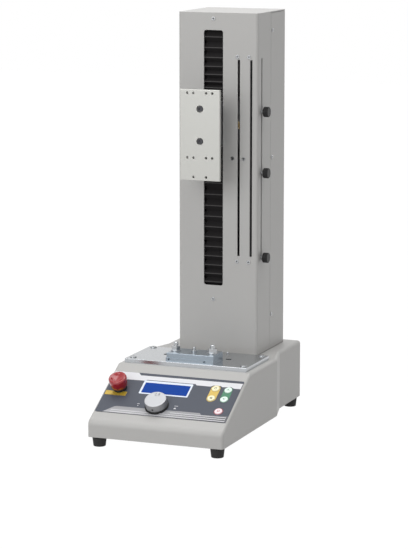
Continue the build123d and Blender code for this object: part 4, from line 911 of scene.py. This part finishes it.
    def build_key_prints(self, shop: Workshop) -> None:
        """Makes the coloured grounds round the keys and the signs on them.

        Args:
            shop: the finishes.
        """
        r = self.key_radius + self.key_gap
        mode_holes = [circle((self.mode_x, s), r) for s in (self.mode_low, self.mode_high)]
        ground = capsule(self.mode_x, self.mode_low, self.mode_high, r + self.mode_margin)
        self.ink_plate(shop, "mode_key_ground", "print_gold", ground, mode_holes, 1)
        arrow_holes = [circle((self.arrow_x, s), r) for s in (self.down_s, self.up_s)]
        ground = capsule(self.arrow_x, self.down_s, self.up_s, r + self.arrow_margin)
        self.ink_plate(shop, "arrow_key_ground", "print_green", ground, arrow_holes, 1)
        stop = (self.arrow_x, self.stop_s)
        self.ink_plate(shop, "stop_key_ground", "print_red", circle(stop, r + self.stop_margin),
                       [circle(stop, r)], 1)
        signs = [("mode_key_upper", self.mode_x, self.mode_high, Mark.RING, "print_outline", "key_yellow"),
                 ("mode_key_lower", self.mode_x, self.mode_low, Mark.BARS, "print_outline", "key_yellow"),
                 ("up_key", self.arrow_x, self.up_s, Mark.UP, "print_green", "key_green"),
                 ("down_key", self.arrow_x, self.down_s, Mark.DOWN, "print_green", "key_green"),
                 ("stop_key", self.arrow_x, self.stop_s, Mark.SQUARE, "print_red", "key_red")]
        for body, x, s, mark, finish, slot in signs:
            outline, holes = self.sign(x, s, mark)
            self.ink_plate(shop, body + "_sign", finish, outline, holes, 0, body, slot, self.key_top)

    def sign(self, x: float, s: float, mark: Mark) -> tuple[list[Point], list[list[Point]]]:
        """The outline and holes of a sign.

        Args:
            x, s: the middle of the key.
            mark: which sign.

        Returns:
            Its outer loop and the loops left out of it.
        """
        if mark in (Mark.UP, Mark.DOWN):
            turn = 1.0 if mark is Mark.UP else -1.0
            return [(x + u, s + v * turn) for u, v in self.chevron], []
        if mark is Mark.RING:
            outer, inner = (circle((x, s), r, steps=32) for r in (self.sign_ring_outer, self.sign_ring_inner))
        else:
            outer, inner = (rectangle(x - half_u, x + half_u, s - half_v, s + half_v, corner)
                            for half_u, half_v, corner in self.frames[mark])
        return outer, [inner]

    def build_dial_marks(self, shop: Workshop) -> None:
        """Makes the plain slow and fast marks beside the dial and the dial's set screw.

        Args:
            shop: the finishes.
        """
        for name, ends in self.dial_bars.items():
            self.ink_plate(shop, name, "print_white", rectangle(*ends))
        self.ink_plate(shop, "fast_mark_2", "print_white", self.fast_triangle)
        face = self.datum()
        middle = face.origin + face.across * self.dial_x + face.up * self.dial_s
        side = Datum(middle + face.out * self.set_screw_rise, face.across, face.out, -face.up)
        shape = Shape().turned(side, (0.0, 0.0), self.set_screw_profile, steps=24)
        # The set screw is painted near black, darker than its black-oxide steel, as painted shade of its hole
        settle(shape.done("dial_set_screw", shop.materials["painted_recess_shade"]), "speed_dial", "black_oxide")

    def build_estop_plate(self, shop: Workshop) -> None:
        """Makes the bare yellow plate under the emergency stop.

        Args:
            shop: the finishes.
        """
        notch = circle((self.estop_x, self.estop_s), self.estop_notch_radius, 24,
                       self.estop_notch_start, self.estop_notch_sweep)
        outline = [*self.estop_plate_low, *reversed(notch), self.estop_plate_corner]
        shape = Shape().plate(self.datum(), outline, self.film_top,
                              self.film_top + self.estop_plate_thickness)
        settle(shape.done("estop_plate", shop.materials["plate_yellow"]), "root", "overlay_print")

    def build_estop(self, shop: Workshop) -> None:
        """Makes the stop's slim collar with its barrel and nut, and the hollow head with its dished top.

        Args:
            shop: the finishes.
        """
        centre = (self.estop_x, self.estop_s)
        collar = Shape().turned(self.datum(), centre, self.collar_profile)
        settle(collar.done("estop_collar", shop.materials["black_plastic"]), "root", "black_plastic",
               "estop_body")
        head = Shape().turned(self.datum(), centre, self.head_profile)
        settle(head.done("estop_mushroom", shop.materials["red_plastic"], self.estop_head_crease),
               "estop_head", "red_plastic", "estop_head")


@dataclass
class Column(SubAssembly):
    """The upright: its covers with their screws and the drive inside."""

    head_radius: float = 3.2
    head_height: float = 1.0
    shank_radius: float = 1.5
    shank_length: float = 7.0
    shank_point: float = 1.0
    shank_gap: float = 0.01
    cross_reach: float = 1.7
    cross_half: float = 0.4
    cross_depth: float = 0.7
    side_y: float = 118.0

    # Across and up the front cover, and up the sides
    front_screws: ClassVar[tuple[Point, ...]] = (
        (63.0, 615.3), (63.0, 273.2), (42.5, 615.3), (42.5, 273.2), (34.0, 446.5), (53.8, 446.5),
        (0.0, 677.0), (0.0, 206.9))
    side_heights: ClassVar[tuple[float, ...]] = (656.0, 443.5, 174.5)

    finishes: ClassVar[dict[str, str]] = {
        "column_front_cover": "painted_cover", "column_rear_cover": "painted_cover",
        "column_backbone": "machined_aluminium", "guide_rails": "screw_steel", "lead_screw": "screw_steel",
        "screw_pulley": "machined_aluminium", "upper_bearing_block": "machined_aluminium",
        "lower_cross_plate": "machined_aluminium", "limit_rail": "motor_black",
    }

    def build_screws(self, shop: Workshop) -> None:
        """Makes the cover screws with their cross recesses.

        Args:
            shop: the finishes.
        """
        low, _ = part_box("column_front_cover")
        side_low, side_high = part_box("column_rear_cover")
        front = Datum.front(low.y / MM)
        right = Datum(Vector((side_high.x / MM, 0, 0)), Y, Z, X)
        left = Datum(Vector((side_low.x / MM, 0, 0)), Y, Z, -X)
        places = [(front, place) for place in self.front_screws]
        places += [(datum, (self.side_y, height)) for datum in (right, left) for height in self.side_heights]
        shank = [(0.0, -self.shank_length), (self.shank_radius, -self.shank_length + self.shank_point),
                 (self.shank_radius, -self.shank_gap), (0.0, -self.shank_gap)]
        shape = Shape()
        for datum, place in places:
            shape.plate(datum, circle(place, self.head_radius, steps=36), 0.0, self.head_height,
                        pockets=[cross(place, self.cross_reach, self.cross_half)], depth=self.cross_depth)
            shape.turned(datum, place, shank, steps=20)
        piece = shape.done("cover_screws_cross", shop.materials["bright_fastener"])
        # The cross recesses take the near-black painted shade
        piece.data.materials.append(shop.materials["painted_recess_shade"])
        settle(piece, "root", "zinc_steel", "column_cover_screws")


@dataclass
class Bellows:
    """A pleated cover over the screw, one piece for each fold."""

    node: str
    fixed_z: float
    moving_z: float
    pleats: int
    first: float
    half_width: float = 20.0
    front: float = 52.0
    back: float = 63.6
    corner: float = 1.5
    fold_in: float = 4.6
    fold_in_back: float = 2.0
    fold_lip: float = 0.7
    cloth: float = 0.7
    crease: float = 20.0
    lit_edge: float = 1.0
    upright: float = 0.1
    end_share: float = 0.03

    def heights(self) -> list[float]:
        """Fold heights from the higher end down, with an even change of spacing.

        Returns:
            The heights, one more than there are folds.
        """
        top, bottom = max(self.fixed_z, self.moving_z), min(self.fixed_z, self.moving_z)
        last = 2.0 * (top - bottom) / self.pleats - self.first
        heights = [top]
        for k in range(self.pleats):
            heights.append(heights[-1] - self.first - (last - self.first) * k / (self.pleats - 1))
        return heights

    def share(self, z: float) -> float:
        """How far a height follows the carriage, from near 0 to near 1."""
        value = (z - self.fixed_z) / (self.moving_z - self.fixed_z)
        return min(1.0 - self.end_share, max(self.end_share, value))

    def loop(self, inset: float) -> list[Point]:
        """The bellows' outline seen from above, drawn in by an inset."""
        return rectangle(-self.half_width + inset, self.half_width - inset, self.front + inset,
                         self.back - min(inset, self.fold_in_back), self.corner)

    def build(self, shop: Workshop) -> None:
        """Makes every fold and bakes its placement into its mesh.

        Args:
            shop: the finishes.
        """
        plan = Datum.level(0.0)
        heights = self.heights()
        for k, (top, bottom) in enumerate(zip(heights, heights[1:]), 1):
            middle = (top + bottom) / 2
            steps = [(0.0, top), (0.0, top - self.fold_lip), (self.fold_in, middle),
                     (0.0, bottom + self.fold_lip), (0.0, bottom), (self.cloth, bottom),
                     (self.cloth, bottom + self.fold_lip), (self.fold_in + self.cloth, middle),
                     (self.cloth, top - self.fold_lip), (self.cloth, top)]
            shape = Shape()
            rings = [shape.ring(plan, self.loop(inset), z) for inset, z in steps]
            for first, second in zip(rings, rings[1:] + rings[:1]):
                shape.wall(first, second)
            piece = shape.done(f"{self.node}_fold_{k}", shop.materials["bellows_cloth"], self.crease)
            piece.data.materials.append(shop.materials["bellows_fold_highlight"])
            # Upright faces along each fold lip take the lighter painted highlight
            for face in piece.data.polygons:
                reach = min(abs(face.center.z / MM - z) for z in (top, bottom))
                if abs(face.normal.z) < self.upright and reach < self.lit_edge:
                    face.material_index = 1
            self.blend(piece)
            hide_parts(self.node)

    def blend(self, piece: bpy.types.Object) -> None:
        """Bakes one fold's placement into its mesh.

        Args:
            piece: the fold.
        """
        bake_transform(piece)


@dataclass
class Crosshead(SubAssembly):
    """What rides on the screw: carriage, arm, gauge plate and pointer, with the limit stops."""

    bead_low: float = 497.0
    bead_high: float = 506.0

    # Radius and height of each ring
    bead_profile: ClassVar[tuple[Point, ...]] = ((0.0, -0.3), (0.8, -0.3), (0.8, 0.1), (0.5, 0.4), (0.0, 0.5))

    finishes: ClassVar[dict[str, str]] = {
        "carriage_block": "machined_aluminium", "screw_nut": "brass", "gauge_arm": "machined_aluminium",
        "gauge_plate": "satin_aluminium", "gauge_plate_screws": "black_oxide", "position_pointer": "brass",
        "upper_limit_slider": "machined_aluminium", "middle_limit_slider": "machined_aluminium",
        "lower_limit_slider": "machined_aluminium", "upper_limit_knob": "black_plastic",
        "middle_limit_knob": "black_plastic", "lower_limit_knob": "black_plastic",
    }

    def build_pointer_beads(self, shop: Workshop) -> None:
        """Makes the two bright beads at the ends of the pointer's tip.

        Args:
            shop: the finishes.
        """
        low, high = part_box("position_pointer")
        x = (low.x + high.x) / 2 / MM
        shape = Shape()
        for z in (self.bead_low, self.bead_high):
            shape.turned(Datum.front(low.y / MM), (x, z), self.bead_profile, steps=20)
        piece = shape.done("pointer_beads", shop.materials["bright_fastener"])
        settle(piece, "carriage", "bright_fastener")


@dataclass(frozen=True)
class Softbox:
    """A square soft lamp, placed, aimed and sized in metres, with its power in watts."""

    name: str
    place: Place
    aim: Place
    size: float
    power: float

    def build(self) -> None:
        """Makes the lamp."""
        data = bpy.data.lights.new(self.name, "AREA")
        data.shape = "SQUARE"
        data.size = self.size
        data.energy = self.power
        lamp = bpy.data.objects.new(self.name, data)
        lamp.location = self.place
        lamp.rotation_euler = (Vector(self.aim) - Vector(self.place)).to_track_quat("-Z", "Y").to_euler()
        bpy.context.scene.collection.objects.link(lamp)


@dataclass
class Studio:
    """Floor, light and camera."""

    azimuth: float = 21.70464
    elevation: float = 9.925726
    distance: float = 3846.32
    target: Place = (25.768, -57.5, 267.583)
    focal_pixels: float = 2354.68
    image_height: float = 549.0
    sensor: float = 36.0
    far_clip: float = 100.0
    floor_half: float = 6000.0
    floor_thickness: float = 4.0
    floor_grey: float = 0.6
    floor_roughness: float = 0.9
    floor_glow: float = 1.06
    floor_share: float = 0.94
    world_light: float = 0.34
    world_seen: float = 1.0

    lamps: ClassVar[tuple[Softbox, ...]] = (
        Softbox("top_softbox", (0.1, 0.0, 2.6), (0.1, 0.0, 0.3), 2.2, 44.0),
        Softbox("front_softbox", (-0.7, -3.4, 1.9), (0.0, 0.0, 0.45), 2.6, 57.0))

    def build(self) -> None:
        """Makes the whole studio."""
        self.build_floor()
        self.build_world()
        for lamp in self.lamps:
            lamp.build()
        self.build_camera()
        bpy.context.scene.view_settings.view_transform = "Standard"

    def build_floor(self) -> None:
        """Makes the pale floor, which keeps the object's shadow."""
        half = self.floor_half
        material = bpy.data.materials.new("floor_white")
        material.use_nodes = True
        nodes = Nodes(material.node_tree)
        shader = material.node_tree.nodes["Principled BSDF"]
        shader.inputs["Base Color"].default_value = (self.floor_grey, self.floor_grey, self.floor_grey, 1.0)
        shader.inputs["Roughness"].default_value = self.floor_roughness
        glow = nodes.add("Emission", {"Color": WHITE, "Strength": self.floor_glow})
        share = nodes.add("Math", {0: nodes.seen(), 1: self.floor_share}, operation="MULTIPLY")
        mixed = nodes.add("MixShader", {0: share.outputs[0], 1: shader.outputs[0], 2: glow.outputs[0]})
        output = material.node_tree.nodes["Material Output"]
        nodes.feed(output.inputs["Surface"], mixed.outputs[0])
        flat = Datum.level(-self.floor_thickness)
        slab = Shape().plate(flat, rectangle(-half, half, -half, half), 0.0, self.floor_thickness)
        slab.done("floor", material)

    def build_world(self) -> None:
        """Makes the even light all round, seen as white behind the object."""
        world = bpy.data.worlds.new("studio")
        world.use_nodes = True
        bpy.context.scene.world = world
        nodes = Nodes(world.node_tree)
        background = world.node_tree.nodes["Background"]
        background.inputs["Color"].default_value = WHITE
        nodes.feed(background.inputs["Strength"], nodes.span(nodes.seen(), self.world_light, self.world_seen))

    def build_camera(self) -> None:
        """Makes the camera at the photograph's viewing angle."""
        a, e = math.radians(self.azimuth), math.radians(self.elevation)
        forward = Vector((-math.sin(a) * math.cos(e), math.cos(a) * math.cos(e), -math.sin(e)))
        data = bpy.data.cameras.new("camera")
        data.sensor_width = self.sensor
        data.lens = self.focal_pixels * self.sensor / self.image_height
        data.clip_end = self.far_clip
        camera = bpy.data.objects.new("camera", data)
        camera.location = (Vector(self.target) - forward * self.distance) * MM
        camera.rotation_euler = forward.to_track_quat("-Z", "Y").to_euler()
        bpy.context.scene.collection.objects.link(camera)
        bpy.context.scene.camera = camera


def main() -> None:
    """Builds the studio and dresses each sub-assembly in turn."""
    logging.basicConfig(level=logging.INFO, format="%(message)s")
    Studio().build()
    shop = Workshop()
    Base().dress(shop)
    table = Table()
    table.dress(shop)
    table.build_pin(shop)
    panel = ControlPanel()
    panel.dress(shop)
    panel.build_print(shop)
    panel.build_key_prints(shop)
    panel.build_dial_marks(shop)
    panel.build_estop_plate(shop)
    panel.build_estop(shop)
    column = Column()
    column.dress(shop)
    column.build_screws(shop)
    Bellows("upper_bellows", fixed_z=666.0, moving_z=540.5, pleats=10, first=19.3).build(shop)
    Bellows("lower_bellows", fixed_z=222.4, moving_z=465.5, pleats=14, first=21.3).build(shop)
    crosshead = Crosshead()
    crosshead.dress(shop)
    crosshead.build_pointer_beads(shop)


if __name__ == "__main__":
    main()
